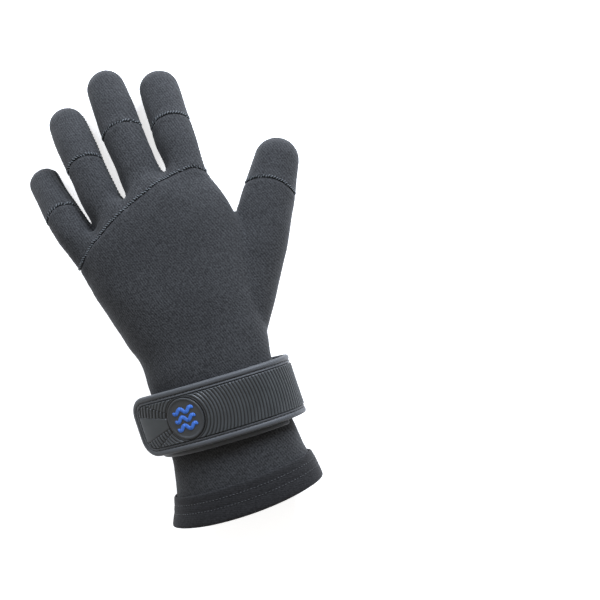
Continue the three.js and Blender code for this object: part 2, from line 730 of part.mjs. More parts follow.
// A strip with a rounded or wavy outline, on top of the pad.
function disc(halfLength, halfWidth, inner, outer) {
  const shares = [0.02, 0.08, 0.18, 0.32, 0.5, 0.68, 0.82, 0.92, 0.98];
  const steps = shares.map((share) => badgeMiddle + (2 * share - 1) * halfLength);
  const sides = (along) => {
    const reach = clamp((along - badgeMiddle) / halfLength, -0.999, 0.999);
    const half = halfWidth * Math.sqrt(1 - reach ** 2);
    return [-half, half];
  };
  const [from, to] = [badgeMiddle - halfLength, badgeMiddle + halfLength];
  return strapPlate(upperStrap, from, to, inner, outer, sides, steps);
}
const badgeHole = disc(badgeLength / 2 + clearance, badgeWidth / 2 + clearance, 0, 4 * padOuter);
const pad = strapPlate(
  upperStrap,
  padStart,
  padEnd,
  faceInner,
  padOuter,
  roundedEnd(upperStrap.total, faceInset),
  cornerSteps(upperStrap.total, faceInset),
).subtract(badgeHole);
const badge = disc(badgeLength / 2, badgeWidth / 2, faceInner, faceInner + badgeHeight);

function wave(number) {
  const steps = Array.from({ length: 11 }, (_, i) => badgeMiddle + (i / 12 - 5 / 12) * waveLength);
  const sides = (along) => {
    const swing = waveSwing * Math.sin(((along - badgeMiddle) / waveLength) * 720 * degrees);
    const middle = (number - 1) * wavePitch + swing;
    return [middle - waveWidth / 2, middle + waveWidth / 2];
  };
  const foot = faceInner + badgeHeight + clearance / 3;
  const [from, to] = [badgeMiddle - waveLength / 2, badgeMiddle + waveLength / 2];
  return strapPlate(upperStrap, from, to, foot, foot + waveCloth, sides, steps);
}

// The ring: a bar bent to a rectangle with round corners
function ringSolid() {
  const [halfAcross, halfAlong] = [strapWidth / 2 + ringPlay + ringBar / 2, ringSpan / 2];
  const corner = new THREE.Vector2(halfAcross - ringCorner, halfAlong - ringCorner);
  const line = [];
  for (const quarter of [0, 1, 2, 3]) {
    const [signX, signY] = [quarter === 0 || quarter === 3 ? 1 : -1, quarter < 2 ? 1 : -1];
    for (const turned of [0, 30, 60, 90]) {
      const angle = (quarter * 90 + turned) * degrees;
      const across = signX * corner.x + ringCorner * Math.cos(angle);
      const along = signY * corner.y + ringCorner * Math.sin(angle);
      const point = ringMiddle.clone().addScaledVector(ringAlong, along);
      line.push(new THREE.Vector3(point.x, strapCentre + across - strapSlant * point.x, point.y));
    }
  }
  return closedTube(line, ringBar / 2, 10);
}

// Materials and the finished group

const looks = {
  jersey: new THREE.MeshStandardMaterial({ color: 0x3f4044, roughness: 0.85, metalness: 0 }),
  gripCloth: new THREE.MeshStandardMaterial({ color: 0x37383b, roughness: 0.8, metalness: 0 }),
  hemCloth: new THREE.MeshStandardMaterial({ color: 0x323336, roughness: 0.85, metalness: 0 }),
  tape: new THREE.MeshStandardMaterial({ color: 0x4a4b4d, roughness: 0.6, metalness: 0 }),
  pile: new THREE.MeshStandardMaterial({ color: 0x232425, roughness: 0.95, metalness: 0 }),
  rubber: new THREE.MeshStandardMaterial({ color: 0x414346, roughness: 0.5, metalness: 0 }),
  blueRubber: new THREE.MeshStandardMaterial({ color: 0x2f5fae, roughness: 0.45, metalness: 0 }),
  plastic: new THREE.MeshStandardMaterial({ color: 0x3c3e40, roughness: 0.45, metalness: 0 }),
};

const glove = new THREE.Group();
function addPart(name, solid, material) {
  const { vertProperties, triVerts } = solid.getMesh();
  const geometry = new THREE.BufferGeometry();
  geometry.setAttribute("position", new THREE.BufferAttribute(vertProperties, 3));
  geometry.setIndex(new THREE.BufferAttribute(triVerts, 1));
  geometry.computeVertexNormals();
  const mesh = new THREE.Mesh(geometry, material.clone());
  mesh.name = name;
  glove.add(mesh);
}

for (const [name, solid] of panels) {
  addPart(name, solid, name.startsWith("grip") ? looks.gripCloth : looks.jersey);
}
addPart("hem_band", hemBand, looks.hemCloth);
addPart("lower_strap", lower.cloth, looks.jersey);
addPart("lower_strap_tape", lower.tape, looks.tape);
addPart("pile_strip", pile, looks.pile);
addPart("upper_strap", upper.cloth, looks.jersey);
addPart("upper_strap_tape", upper.tape, looks.tape);
addPart("ribbed_pad", pad, looks.rubber);
addPart("badge", badge, looks.rubber);
for (const number of [0, 1, 2]) addPart("badge_wave_" + (number + 1), wave(number), looks.blueRubber);
addPart("ring", ringSolid(), looks.plastic);

// The origin is the middle of the footprint, on the floor.
const bounds = new THREE.Box3().setFromObject(glove);
const footprint = bounds.getCenter(new THREE.Vector3()).setZ(bounds.min.z);
glove.position.copy(footprint.negate());

export default glove;
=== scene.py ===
# %% [markdown]
# # A diving glove of foam rubber
#
# The real glove is cut from sheets of foam rubber with a knitted face, and sewn round the palm, across
# the knuckles and behind the fingertips. It could be modelled panel by panel, with each edge matched to
# its neighbour. Here the whole hand is one smooth hull first and the panels are cut from it along its
# seams, because panels made that way always meet.
#
# The glove lies palm down, filled out as if a hand were in it. All shapes are worked out in
# millimetres: +Y runs from the cuff to the fingertips, +X points to the thumb's side and +Z is the back
# of the hand. `made` turns them into metres in the frame's place.

# %% The frame, and where the tables' origin lies in it
import math

import bmesh
import bpy
import numpy as np
from mathutils import Matrix, Vector, kdtree
from mathutils.bvhtree import BVHTree


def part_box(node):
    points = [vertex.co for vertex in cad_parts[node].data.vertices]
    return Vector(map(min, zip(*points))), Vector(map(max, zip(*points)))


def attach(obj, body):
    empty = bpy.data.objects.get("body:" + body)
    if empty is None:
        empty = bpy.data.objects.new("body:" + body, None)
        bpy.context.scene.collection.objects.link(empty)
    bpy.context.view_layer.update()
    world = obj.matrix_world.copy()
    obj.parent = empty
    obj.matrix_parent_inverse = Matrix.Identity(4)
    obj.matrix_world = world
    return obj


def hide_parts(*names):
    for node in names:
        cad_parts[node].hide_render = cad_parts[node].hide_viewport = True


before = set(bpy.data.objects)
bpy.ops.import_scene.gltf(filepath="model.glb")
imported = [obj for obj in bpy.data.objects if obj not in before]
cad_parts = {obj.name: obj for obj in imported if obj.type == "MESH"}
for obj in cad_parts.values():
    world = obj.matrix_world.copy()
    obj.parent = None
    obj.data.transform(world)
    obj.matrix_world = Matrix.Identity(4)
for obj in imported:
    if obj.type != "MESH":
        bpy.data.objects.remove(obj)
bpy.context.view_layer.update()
hem_low, hem_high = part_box("hem_band")

GLOVE_LENGTH = 286.0
PALM_WIDTH = 105.0
HAND_HEIGHT = 58.0
WALL = 3.0
KNUCKLE_HEIGHT = 31.0
KNUCKLE_ARC = 0.92
CUFF_BOW = 4.0
FINGER_LIFT = 0.45
THUMB_ROOT_HEIGHT = 30.0
HEM_CLOTH = 1.5
HEM_LENGTH = 18.0
HEM_FOLD = 8.0
CLEARANCE = 0.3
HEM_SIDE = 0.452 * PALM_WIDTH + HEM_CLOTH + CLEARANCE
ORIGIN = np.array([hem_low.x * 1000 + HEM_SIDE, hem_low.y * 1000 + CUFF_BOW, 0.0])
print("table origin in the frame, mm", ORIGIN.round(2))

# %% [markdown]
# ## Tables
#
# A filled glove has no straight lines. Its form could be sculpted, but here it is kept as sections: how
# far the cloth reaches to each side, at some places along the glove. A smooth curve runs through them,
# and a wrong place is mended by one number.
#
# Lengths are shares: `along` of the glove's length, `left` and `right` of the palm's width, `under` and
# `over` of the hand's height. The last column is the power of a superellipse.

# %% Sections of the hand's body: along, left, right, under, over, squareness
BODY = np.array([
    [0.000, -0.452, 0.452, -0.030, 1.030, 2.20],
    [0.042, -0.405, 0.438, -0.015, 1.020, 2.20],
    [0.084, -0.372, 0.414, 0.080, 1.010, 2.20],
    [0.133, -0.342, 0.402, 0.200, 1.000, 2.20],
    [0.286, -0.342, 0.402, 0.200, 1.000, 2.20],
    [0.339, -0.338, 0.419, 0.140, 0.985, 2.20],
    [0.402, -0.383, 0.443, 0.070, 0.965, 2.20],
    [0.472, -0.435, 0.462, 0.045, 0.945, 2.25],
    [0.542, -0.479, 0.471, 0.060, 0.920, 2.35],
    [0.612, -0.486, 0.467, 0.120, 0.893, 2.45],
    [0.671, -0.486, 0.438, 0.195, 0.855, 2.50],
    [0.710, -0.476, 0.405, 0.255, 0.805, 2.50],
    [0.735, -0.438, 0.362, 0.320, 0.735, 2.50],
    [0.746, -0.381, 0.286, 0.410, 0.640, 2.40],
])

# Digits: root across and along, web along, tip across and along, width at root and tip, and how far
# the seam lies back from the tip
DIGITS = {
    "little": (-0.376, 0.542, 0.650, -0.606, 0.835, 0.87, 0.82, 1.32),
    "ring": (-0.214, 0.601, 0.710, -0.356, 0.950, 0.94, 0.92, 1.60),
    "middle": (0.029, 0.622, 0.727, -0.057, 1.000, 0.985, 0.98, 1.64),
    "index": (0.267, 0.612, 0.717, 0.259, 0.964, 0.985, 0.98, 1.42),
    "thumb": (0.259, 0.355, 0.555, 0.865, 0.730, 1.10, 0.92, 0.98),
}

# Seams between the panels: across, along
KNUCKLE_SEAM = np.array([
    [-0.714, 0.545], [-0.495, 0.589], [-0.400, 0.621], [-0.295, 0.643], [-0.138, 0.673],
    [0.000, 0.692], [0.133, 0.710], [0.314, 0.717], [0.393, 0.699], [0.452, 0.677],
])
WRIST_SEAM = np.array([
    [-0.695, 0.367], [-0.400, 0.369], [0.000, 0.372], [0.219, 0.385],
    [0.419, 0.430], [0.590, 0.497], [0.790, 0.573], [1.067, 0.685],
])
print(len(BODY), "sections,", len(DIGITS), "digits")

# %% [markdown]
# ## Small helpers for numbers and meshes
#
# Cloth is given as arrays of points here, because whole rows of points can be bent and moved at once.
# Turned and swept bodies are left to Blender's mesh operators, and `read` brings them into the same
# arrays. `made` turns either kind into an object.

# %% Curves and blends
def lerp(a, b, t):
    return a + (b - a) * t


def smoothstep(value, low, high):
    t = np.clip((value - low) / (high - low), 0, 1)
    return t * t * (3 - 2 * t)


def bent(value, power):
    return np.sign(value) * np.abs(value) ** power


def unit(vectors):
    return vectors / np.linalg.norm(vectors, axis=-1, keepdims=True)


def row_at(table, place):
    """A table's rows at any places, on a smooth curve that never swings past its rows."""
    place = np.atleast_1d(place)
    keys = table[:, 0]
    i = np.clip(np.searchsorted(keys, place, "right") - 1, 0, len(keys) - 2)
    span = (keys[i + 1] - keys[i])[:, None]
    t = np.clip((place - keys[i])[:, None] / span, 0, 1)
    rise = np.diff(table, axis=0) / np.diff(keys)[:, None]
    before = np.vstack([rise[:1], rise])
    after = np.vstack([rise, rise[-1:]])
    both = before + after
    slope = np.where(before * after > 0, 2 * before * after / np.where(both == 0, 1, both), 0)
    ease = t * t * (3 - 2 * t)
    lean = slope[i] * t * (1 - t) ** 2 - slope[i + 1] * t * t * (1 - t)
    return lerp(table[i], table[i + 1], ease) + span * lean


print("half way from 2 to 4 is", lerp(2, 4, smoothstep(0.5, 0, 1)))


# %% Grids, closed lofts and triangles
def quads(rows, columns, wrap_rows=False, wrap_columns=False):
    """Faces of a grid of points, closed round in one or both ways."""
    r = np.arange(rows if wrap_rows else rows - 1)[:, None]
    c = np.arange(columns if wrap_columns else columns - 1)[None, :]
    r2, c2 = (r + 1) % rows, (c + 1) % columns
    corners = [r * columns + c, r * columns + c2, r2 * columns + c2, r2 * columns + c]
    return np.stack(corners, axis=-1).reshape(-1, 4)


def closed_loft(rings):
    """Points and faces of rings whose two ends are closed."""
    rows, columns = rings.shape[:2]
    faces = quads(rows, columns, wrap_columns=True).tolist()
    faces.append(list(range(columns)))
    faces.append([(rows - 1) * columns + k for k in range(columns)])
    return rings.reshape(-1, 3), faces


def merged(parts):
    """The points and faces of several bodies, as of one."""
    faces = []
    first = 0
    for points, part_faces in parts:
        faces += [[first + k for k in face] for face in part_faces]
        first += len(points)
    return np.vstack([points for points, _ in parts]), faces


def sides_of(triangles):
    """The three sides of each triangle, as pairs of point numbers."""
    return np.vstack([triangles[:, [0, 1]], triangles[:, [1, 2]], triangles[:, [2, 0]]])


def sums_at(numbers, vectors, count):
    """For each point number, the sum of the vectors that belong to it."""
    return np.stack([np.bincount(numbers, vectors[:, k], count) for k in range(3)], axis=1)


def finder(points):
    """A tree that finds the nearest of some points."""
    tree = kdtree.KDTree(len(points))
    for i, point in enumerate(points):
        tree.insert(point, i)
    tree.balance()
    return tree


print("faces of a closed loft of 3 rings of 4", len(closed_loft(np.zeros((3, 4, 3)))[1]))


# %% Bodies from mesh operators
def solid_normals(mesh):
    """Turns a closed mesh's faces so that they point out."""
    work = bmesh.new()
    work.from_mesh(mesh)
    bmesh.ops.recalc_face_normals(work, faces=work.faces)
    work.to_mesh(mesh)
    work.free()


def read(form):
    """A bmesh's points and faces, once its doubles are merged and its faces point out."""
    bmesh.ops.remove_doubles(form, verts=form.verts, dist=1e-3)
    bmesh.ops.recalc_face_normals(form, faces=form.faces)
    form.verts.index_update()
    points = np.array([vertex.co[:] for vertex in form.verts])
    faces = [[vertex.index for vertex in face.verts] for face in form.faces]
    form.free()
    return points, faces


def turned(profile, steps):
    """A body turned round Z. Its profile of radius and height starts and ends on the axis."""
    form = bmesh.new()
    dots = [form.verts.new((radius, 0, height)) for radius, height in profile]
    line = [form.edges.new(pair) for pair in zip(dots, dots[1:])]
    bmesh.ops.spin(form, geom=dots + line, cent=(0, 0, 0), axis=(0, 0, 1), angle=2 * math.pi,
                   steps=steps, use_merge=True)
    return read(form)


print("a cone turned in 8 steps has", len(turned([(0, 0), (1, 0), (0, 1)], 8)[0]), "points")


# %% Objects of the glove
def made(name, points, faces, material, slot, replaced=(), closed=True):
    """A Blender object from points in millimetres, riding on the glove."""
    mesh = bpy.data.meshes.new(name)
    place = (np.asarray(points, float) + ORIGIN) / 1000
    mesh.from_pydata(place.tolist(), [], [list(map(int, face)) for face in faces])
    if closed:
        solid_normals(mesh)
    mesh.shade_smooth()
    mesh.materials.append(material)
    piece = bpy.data.objects.new(name, mesh)
    bpy.context.scene.collection.objects.link(piece)
    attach(piece, "root")
    if replaced:
        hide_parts(*replaced)
    print(name, len(mesh.vertices), "points")
    return piece


def mark(piece, name, values=None):
    """A number at each point for the material to read, zero where no values are given."""
    layer = piece.data.attributes.new(name, "FLOAT", "POINT")
    if values is not None:
        layer.data.foreach_set("value", values.astype(np.float32))


print("the hem starts at", hem_low.y, "m in the frame")

# %% [markdown]
# ## Materials
#
# Knits, tapes and rubbers are told apart by how matt they are and by their pattern. They could be
# photographed, but patterns of noise and waves have no edge and no fixed size, so they fit any piece.
# Each pattern is sized in millimetres on the object's coordinates. Where the real one is too fine to
# show, it is drawn coarser, and a comment says so.

# %% Functions for colours, nodes and patterns
def srgb(text):
    """A hex colour as the linear numbers that the shaders use."""
    parts = [int(text[i:i + 2], 16) / 255 for i in (0, 2, 4)]
    linear = [p / 12.92 if p <= 0.04045 else ((p + 0.055) / 1.055) ** 2.4 for p in parts]
    return (*linear, 1.0)


def add(tree, kind, inputs, output=0, **settings):
    """One node with its settings and with its inputs linked or set. It gives back an output."""
    node = tree.nodes.new("ShaderNode" + kind)
    for key, value in settings.items():
        setattr(node, key, value)
    for key, value in inputs.items():
        if isinstance(value, bpy.types.NodeSocket):
            tree.links.new(value, node.inputs[key])
        else:
            node.inputs[key].default_value = value
    return node.outputs[output]


# The colour mixing node's own output, and its inputs: share, first colour and second colour
COLOURS = {"output": 2, "data_type": "RGBA"}
SHARE, FIRST, SECOND = 0, 6, 7


def start(name, roughness, **values):
    """A material with its shader's constants set, and its object coordinates."""
    material = bpy.data.materials.new(name)
    material.use_nodes = True
    tree = material.node_tree
    shader = tree.nodes["Principled BSDF"]
    shader.inputs["Roughness"].default_value = roughness
    for key, value in values.items():
        shader.inputs[key.replace("_", " ")].default_value = value
    return material, tree, shader, add(tree, "TexCoord", {}, "Object")


def grains(place, size_mm, detail):
    """What a noise texture needs for grains of one size."""
    return {"Vector": place, "Scale": 1000 / size_mm, "Detail": detail}


def stripes(tree, place, direction, pitch_mm, sway=None, sway_turns=0.0):
    """Waves from 0 to 1 across a direction. sway bends them by some turns."""
    along = add(tree, "VectorMath", {0: place, 1: direction}, "Value", operation="DOT_PRODUCT")
    phase = add(tree, "Math", {0: along, 1: 2000 * math.pi / pitch_mm}, operation="MULTIPLY")
    if sway:
        swayed = add(tree, "Math", {0: sway, 1: 2 * math.pi * sway_turns}, operation="MULTIPLY")
        phase = add(tree, "Math", {0: phase, 1: swayed}, operation="ADD")
    wave = add(tree, "Math", {0: phase}, operation="SINE")
    return add(tree, "Math", {0: wave, 1: 0.5, 2: 0.5}, operation="MULTIPLY_ADD")


def blended(tree, first, second, share):
    """Two patterns in one, with share of the second."""
    kept = add(tree, "Math", {0: first, 1: 1 - share}, operation="MULTIPLY")
    return add(tree, "Math", {0: second, 1: share, 2: kept}, operation="MULTIPLY_ADD")


def dressed(tree, shader, colour, relief, depth_mm, strength):
    """Gives the shader its colour, and a relief of some depth."""
    tree.links.new(colour, shader.inputs["Base Color"])
    heights = {"Height": relief, "Distance": depth_mm / 1000, "Strength": strength}
    tree.links.new(add(tree, "Bump", heights), shader.inputs["Normal"])


print("middle grey is", round(srgb("808080")[0], 3), "in linear light")


# %% Nylon jersey, knitted and glued on foam rubber
def jersey(name, dark, light, wales=(0.93, 0.37, 0.12), pitch=1.38):
    """Matt, with slanting wales, a fine grain and a soft sheen. Along each seam: dark thread and
    painted shade.

    Real wales are half a millimetre wide. They are drawn more than twice as wide, to show.
    """
    material, tree, shader, place = start(name, 0.85, Sheen_Weight=0.07, Sheen_Roughness=0.5,
                                          Specular_IOR_Level=0.18)
    large = add(tree, "TexNoise", grains(place, 42, 2))
    grain = add(tree, "TexNoise", grains(place, 1.0, 3))
    sharp = add(tree, "MapRange", {0: grain, 1: 0.35, 2: 0.65})
    rows = stripes(tree, place, wales, pitch, large, 5)
    cross = stripes(tree, place, (-0.37, 0.93, 0.35), 0.9, large, 3)
    pattern = blended(tree, blended(tree, rows, cross, 0.2), sharp, 0.62)
    base = add(tree, "Mix", {SHARE: pattern, FIRST: srgb(dark), SECOND: srgb(light)}, **COLOURS)
    worn = {SHARE: large, FIRST: (0.8, 0.8, 0.81, 1), SECOND: (1.2, 1.2, 1.19, 1)}
    faded = add(tree, "Mix", worn, **COLOURS)
    varied = {SHARE: 1.0, FIRST: base, SECOND: faded}
    varied = add(tree, "Mix", varied, blend_type="MULTIPLY", **COLOURS)
    # The seam mark darkens the knit along each seam: partly its dark thread, partly painted shade in
    # the groove
    seam = add(tree, "Attribute", {}, "Fac", attribute_name="seam")
    with_seam_thread_and_shade = add(tree, "Mix", {SHARE: seam, FIRST: varied, SECOND: srgb("0b0c0d")}, **COLOURS)
    dressed(tree, shader, with_seam_thread_and_shade, pattern, 0.16, 0.85)
    return material


# The hand's black knit looks grey in wide light, with wales that lean to the thumb
HAND_JERSEY = jersey("knitted_nylon_hand", "0e0e0f", "38393a")
# The palm's knit is turned across the hand and a little darker
GRIP_JERSEY = jersey("knitted_nylon_palm", "101011", "343536", (0.37, 0.93, 0.1))
# The folded hem is the darkest cloth: its darker colour is painted shade, for the cuff's end lies in
# shade
HEM_JERSEY = jersey("knitted_nylon_hem", "0b0b0c", "272728", (0.2, 0.98, 0.0), 1.2)
# The strap's knit is stretched flat, so it looks smoother and lighter
STRAP_JERSEY = jersey("knitted_nylon_strap", "131314", "383a3b", (0.98, 0.2, 0.0), 1.2)
print("knits", [m.name for m in (HAND_JERSEY, GRIP_JERSEY, HEM_JERSEY, STRAP_JERSEY)])


# %% Woven nylon tape, brushed loop pile and sewing thread
def woven_tape(name, dark, light):
    """Smoother than the knit, with fine ribs. They are drawn twice as wide as real ones, to show."""
    material, tree, shader, place = start(name, 0.55, Sheen_Weight=0.1, Specular_IOR_Level=0.35)
    grain = add(tree, "TexNoise", grains(place, 0.5, 2))
    pattern = blended(tree, stripes(tree, place, (1.0, 0.15, 0.6), 0.7), grain, 0.5)
    colour = add(tree, "Mix", {SHARE: pattern, FIRST: srgb(dark), SECOND: srgb(light)}, **COLOURS)
    dressed(tree, shader, colour, pattern, 0.06, 0.6)
    return material


def brushed_pile(name, dark, light):
    """Fully matt: loose loops swallow the light, and tufts leave lighter and darker spots."""
    material, tree, shader, place = start(name, 1.0, Sheen_Weight=0.05, Sheen_Roughness=0.6,
                                          Specular_IOR_Level=0.0)
    fuzz = add(tree, "TexNoise", grains(place, 0.8, 6))
    tufts = add(tree, "TexNoise", grains(place, 3.0, 3))
    pattern = blended(tree, fuzz, tufts, 0.35)
    colour = add(tree, "Mix", {SHARE: pattern, FIRST: srgb(dark), SECOND: srgb(light)}, **COLOURS)
    dressed(tree, shader, colour, fuzz, 0.7, 1.0)
    return material


def thread(name, dark, light):
    """Twisted polyester: soft glints along the twist, which is drawn coarser than the real one."""
    material, tree, shader, place = start(name, 0.6, Sheen_Weight=0.15)
    twist = stripes(tree, place, (0.6, 0.8, 0.2), 0.35)
    colour = add(tree, "Mix", {SHARE: twist, FIRST: srgb(dark), SECOND: srgb(light)}, **COLOURS)
    dressed(tree, shader, colour, twist, 0.04, 0.5)
    return material


# The tape's smooth weave catches the light and draws a paler line round the strap
TAPE = woven_tape("woven_nylon_tape", "303234", "47494b")
# The pile is the deepest black on the glove
PILE = brushed_pile("brushed_nylon_loops", "08080a", "202122")
# Light thread draws the seams, dull thread hides in the hem and dark thread in the tape
LIGHT_THREAD = thread("polyester_thread_light", "3a3f41", "585e61")
DULL_THREAD = thread("polyester_thread_dull", "26282a", "3a3d3f")
DARK_THREAD = thread("polyester_thread_dark", "060607", "121213")
print("so far", len(bpy.data.materials), "materials")


# %% Rubber and plastic, each from a mould
def moulded(name, dark, light, roughness, groove=None):
    """Satin, with broad soft lights that a faint cloud breaks up. groove is the colour of painted shade
    down in it.
    """
    material, tree, shader, place = start(name, roughness, Specular_IOR_Level=0.45)
    grain = add(tree, "TexNoise", grains(place, 0.5, 2))
    cloud = add(tree, "TexNoise", grains(place, 9, 2))
    colour = add(tree, "Mix", {SHARE: cloud, FIRST: srgb(dark), SECOND: srgb(light)}, **COLOURS)
    # Painted shade: the groove mark darkens the rubber down between the ribs
    if groove:
        depth = add(tree, "Attribute", {}, "Fac", attribute_name="groove")
        colour = add(tree, "Mix", {SHARE: depth, FIRST: colour, SECOND: srgb(groove)}, **COLOURS)
    rough = add(tree, "MapRange", {0: cloud, 3: roughness - 0.08, 4: roughness + 0.1})
    tree.links.new(rough, shader.inputs["Roughness"])
    dressed(tree, shader, colour, grain, 0.03, 0.7)
    return material


# The pad's black rubber shines on its ribs, and painted shade makes it nearly black between them
RIBBED_RUBBER = moulded("moulded_rubber_ribs", "2c2f30", "3a3d3e", 0.38, "020202")
# The badge is a smoother, duller black, so its rim stands out by light alone
BADGE_RUBBER = moulded("moulded_rubber_badge", "262829", "303233", 0.45)
# The waves are dyed through: one clear blue, the only colour on the glove
BLUE_RUBBER = moulded("moulded_rubber_blue", "25509a", "3264b2", 0.5)
# The ring's acetal plastic is hard and even, with a small clear highlight
RING_PLASTIC = moulded("moulded_acetal", "1b1c1d", "27292a", 0.38)
# The grip print is a thin coat of rubber, paler than the knit under it
PRINT_RUBBER = moulded("printed_rubber", "37393a", "454748", 0.45)
print(len(bpy.data.materials), "materials")

# %% [markdown]
# ## The hand's shape
#
# The body of the real glove is a flat tube that a hand rounds out: oval at the wrist, and broad and
# rather square at the knuckles. A cylinder could be pushed into that form. Rings of points are laid
# here instead, one for each row of the table, because each ring then has exactly its measured width.

# %% The body: rings of points from the cuff to the finger roots
REST_HEIGHT = HEM_CLOTH + CLEARANCE
KNUCKLE_REACH = (0.49 * GLOVE_LENGTH, 0.72 * GLOVE_LENGTH)
KNUCKLE_MIDDLE = 0.095 * PALM_WIDTH
CUFF_REACH = 0.12 * GLOVE_LENGTH


def bowed(x, y, z):
    """The knuckles and the cuff's end lie on arcs: points move along Y by their place across."""
    knuckles = smoothstep(y, *KNUCKLE_REACH)
    cuff = 1 - smoothstep(y, 0, CUFF_REACH)
    knuckle_shift = knuckles * KNUCKLE_ARC * (x - KNUCKLE_MIDDLE) ** 2 / PALM_WIDTH
    cuff_shift = cuff * CUFF_BOW * (1 - (2 * x / PALM_WIDTH) ** 2)
    return np.stack([x, y - knuckle_shift - cuff_shift, z], axis=-1)


def body_rings(stations, insets, count=112):
    """One ring of points for each station along the glove."""
    stations = np.asarray(stations, float)
    insets = np.broadcast_to(insets, stations.shape)
    rows = row_at(BODY, np.maximum(stations, 0) / GLOVE_LENGTH)
    left = rows[:, 1] * PALM_WIDTH + insets
    right = rows[:, 2] * PALM_WIDTH - insets
    under = rows[:, 3] * HAND_HEIGHT + insets
    over = rows[:, 4] * HAND_HEIGHT - insets
    angle = np.linspace(0, 2 * np.pi, count, endpoint=False)[None, :]
    power = (2 / rows[:, 5])[:, None]
    x = ((left + right) / 2)[:, None] + ((right - left) / 2)[:, None] * bent(np.cos(angle), power)
    z = ((under + over) / 2)[:, None] + ((over - under) / 2)[:, None] * bent(np.sin(angle), power)
    z = np.maximum(z, (REST_HEIGHT + insets)[:, None])
    y = np.broadcast_to(np.maximum(stations, 0)[:, None], x.shape)
    points = bowed(x, y, z)
    points[..., 1] += np.minimum(stations, 0)[:, None]
    return points


print("ring widths, mm", np.ptp(body_rings([0, 120, 190], 0.0)[..., 0], axis=1).round(1))

# %% [markdown]
# A finger of the glove is a tube with a round nose, and its tip droops to the table. Capsules would be
# too even, so each digit is a row of ovals, set square to a centre line.

# %% The digits: a centre line that droops to the tip, and oval rings round it
FINGER_SIZE = (25.0, 22.5)
THUMB_SIZE = (31.0, 27.0)
FINGER_SWELL = 0.04
THUMB_SWELL = 0.17
FINGER_DROOP = 1.5
NOSE_TURNS = np.radians([8, 16, 24, 32, 40, 48, 56, 64, 71, 78, 84, 88])


class Digit:
    def __init__(self, name):
        root_x, root_y, web, tip_x, tip_y, root_width, tip_width, seam = DIGITS[name]
        thumb = name == "thumb"
        self.name = name
        self.width, self.depth = THUMB_SIZE if thumb else FINGER_SIZE
        self.swell = THUMB_SWELL if thumb else FINGER_SWELL
        self.root_height = THUMB_ROOT_HEIGHT if thumb else KNUCKLE_HEIGHT
        self.shares = (root_width, tip_width)
        self.seam = seam * self.width
        tip = np.array([tip_x * PALM_WIDTH, tip_y * GLOVE_LENGTH])
        self.root = np.array([root_x * PALM_WIDTH, root_y * GLOVE_LENGTH])
        self.nose = 0.5 * tip_width * self.width
        self.along = unit(tip - self.root)
        self.end = tip - self.along * self.nose
        self.web = web * GLOVE_LENGTH
        self.length = np.linalg.norm(self.end - self.root)
        self.tip_height = tip_width * self.depth / 2 + FINGER_LIFT

    def height(self, t):
        if self.name == "thumb":
            return lerp(self.root_height, self.tip_height, t)
        web = (self.web - self.root[1]) / (self.end[1] - self.root[1])
        past = np.clip((t - web) / (1 - web), 0, 1)
        return lerp(self.root_height, self.tip_height, past ** FINGER_DROOP)

    def share(self, t):
        return lerp(self.shares[0], self.shares[1], t) + self.swell * 4 * t * (1 - t)

    def point(self, t):
        flat = lerp(self.root, self.end, t)
        return np.array([flat[0], flat[1], self.height(t)])

    def axes(self, t):
        ahead = unit(self.point(min(t, 1)) - self.point(min(t, 1) - 0.02))
        aside = unit(np.array([ahead[1], -ahead[0], 0]))
        return ahead, aside, np.cross(aside, ahead)

    def rings(self, count=44):
        """Ovals along the digit, and then round its nose."""
        angle = np.linspace(0, 2 * np.pi, count, endpoint=False)[:, None]
        ovals = []
        stops = [(t, 0.0, 1.0) for t in np.linspace(0, 1, 42)]
        for turn in NOSE_TURNS:
            stops.append((1.0, self.nose * np.sin(turn), np.cos(turn)))
        for t, reach, left in stops:
            ahead, aside, up = self.axes(t)
            wide = left * self.share(t) * self.width / 2
            deep = left * self.share(t) * self.depth / 2
            centre = self.point(t) + ahead * reach
            ovals.append(centre + aside * wide * np.cos(angle) + up * deep * np.sin(angle))
        return np.array(ovals)


digits = {name: Digit(name) for name in DIGITS}
fingers = [digits[name] for name in ("little", "ring", "middle", "index")]
thumb = digits["thumb"]
print("longest digit, mm", max(round(float(d.length + d.nose), 1) for d in digits.values()))

# %% [markdown]
# On the real glove the digits grow out of the hand without a step. Booleans would leave a crease at
# each root. A voxel remesh makes one skin round all the overlapping lofts, and smoothing that keeps the
# volume takes away its steps.

# %% One skin
VOXEL = 1.25


def joined(lofts, voxel):
    """Points and triangles of one skin round some closed lofts, in millimetres."""
    points, faces = merged(lofts)
    mesh = bpy.data.meshes.new("hull_source")
    mesh.from_pydata(points.tolist(), [], faces)
    solid_normals(mesh)
    source = bpy.data.objects.new("hull_source", mesh)
    bpy.context.scene.collection.objects.link(source)
    remesh = source.modifiers.new("Skin", "REMESH")
    remesh.mode = "VOXEL"
    remesh.voxel_size = voxel
    skin = source.evaluated_get(bpy.context.evaluated_depsgraph_get()).to_mesh()
    skin.calc_loop_triangles()
    place = np.zeros(len(skin.vertices) * 3, np.float32)
    skin.vertices.foreach_get("co", place)
    triangles = np.zeros(len(skin.loop_triangles) * 3, np.int32)
    skin.loop_triangles.foreach_get("vertices", triangles)
    result = place.reshape(-1, 3).astype(float), triangles.reshape(-1, 3).astype(int)
    bpy.data.objects.remove(source)
    bpy.data.meshes.remove(mesh)
    return result


def edge_list(triangles):
    return np.unique(np.sort(sides_of(triangles), axis=1), axis=0)


def eased(points, edges, rounds, step=0.52, back=-0.54, share=1.0):
    """Smooths points along their edges. A step out after each step in keeps the volume."""
    first, second = edges[:, 0], edges[:, 1]
    count = np.maximum(np.bincount(edges.ravel(), minlength=len(points)), 1)[:, None]
    weight = np.reshape(share, (-1, 1))
    for _ in range(rounds):
        for factor in (step, back):
            total = (sums_at(first, points[second], len(points))
                     + sums_at(second, points[first], len(points)))
            points = points + weight * factor * (total / count - points)
    return points


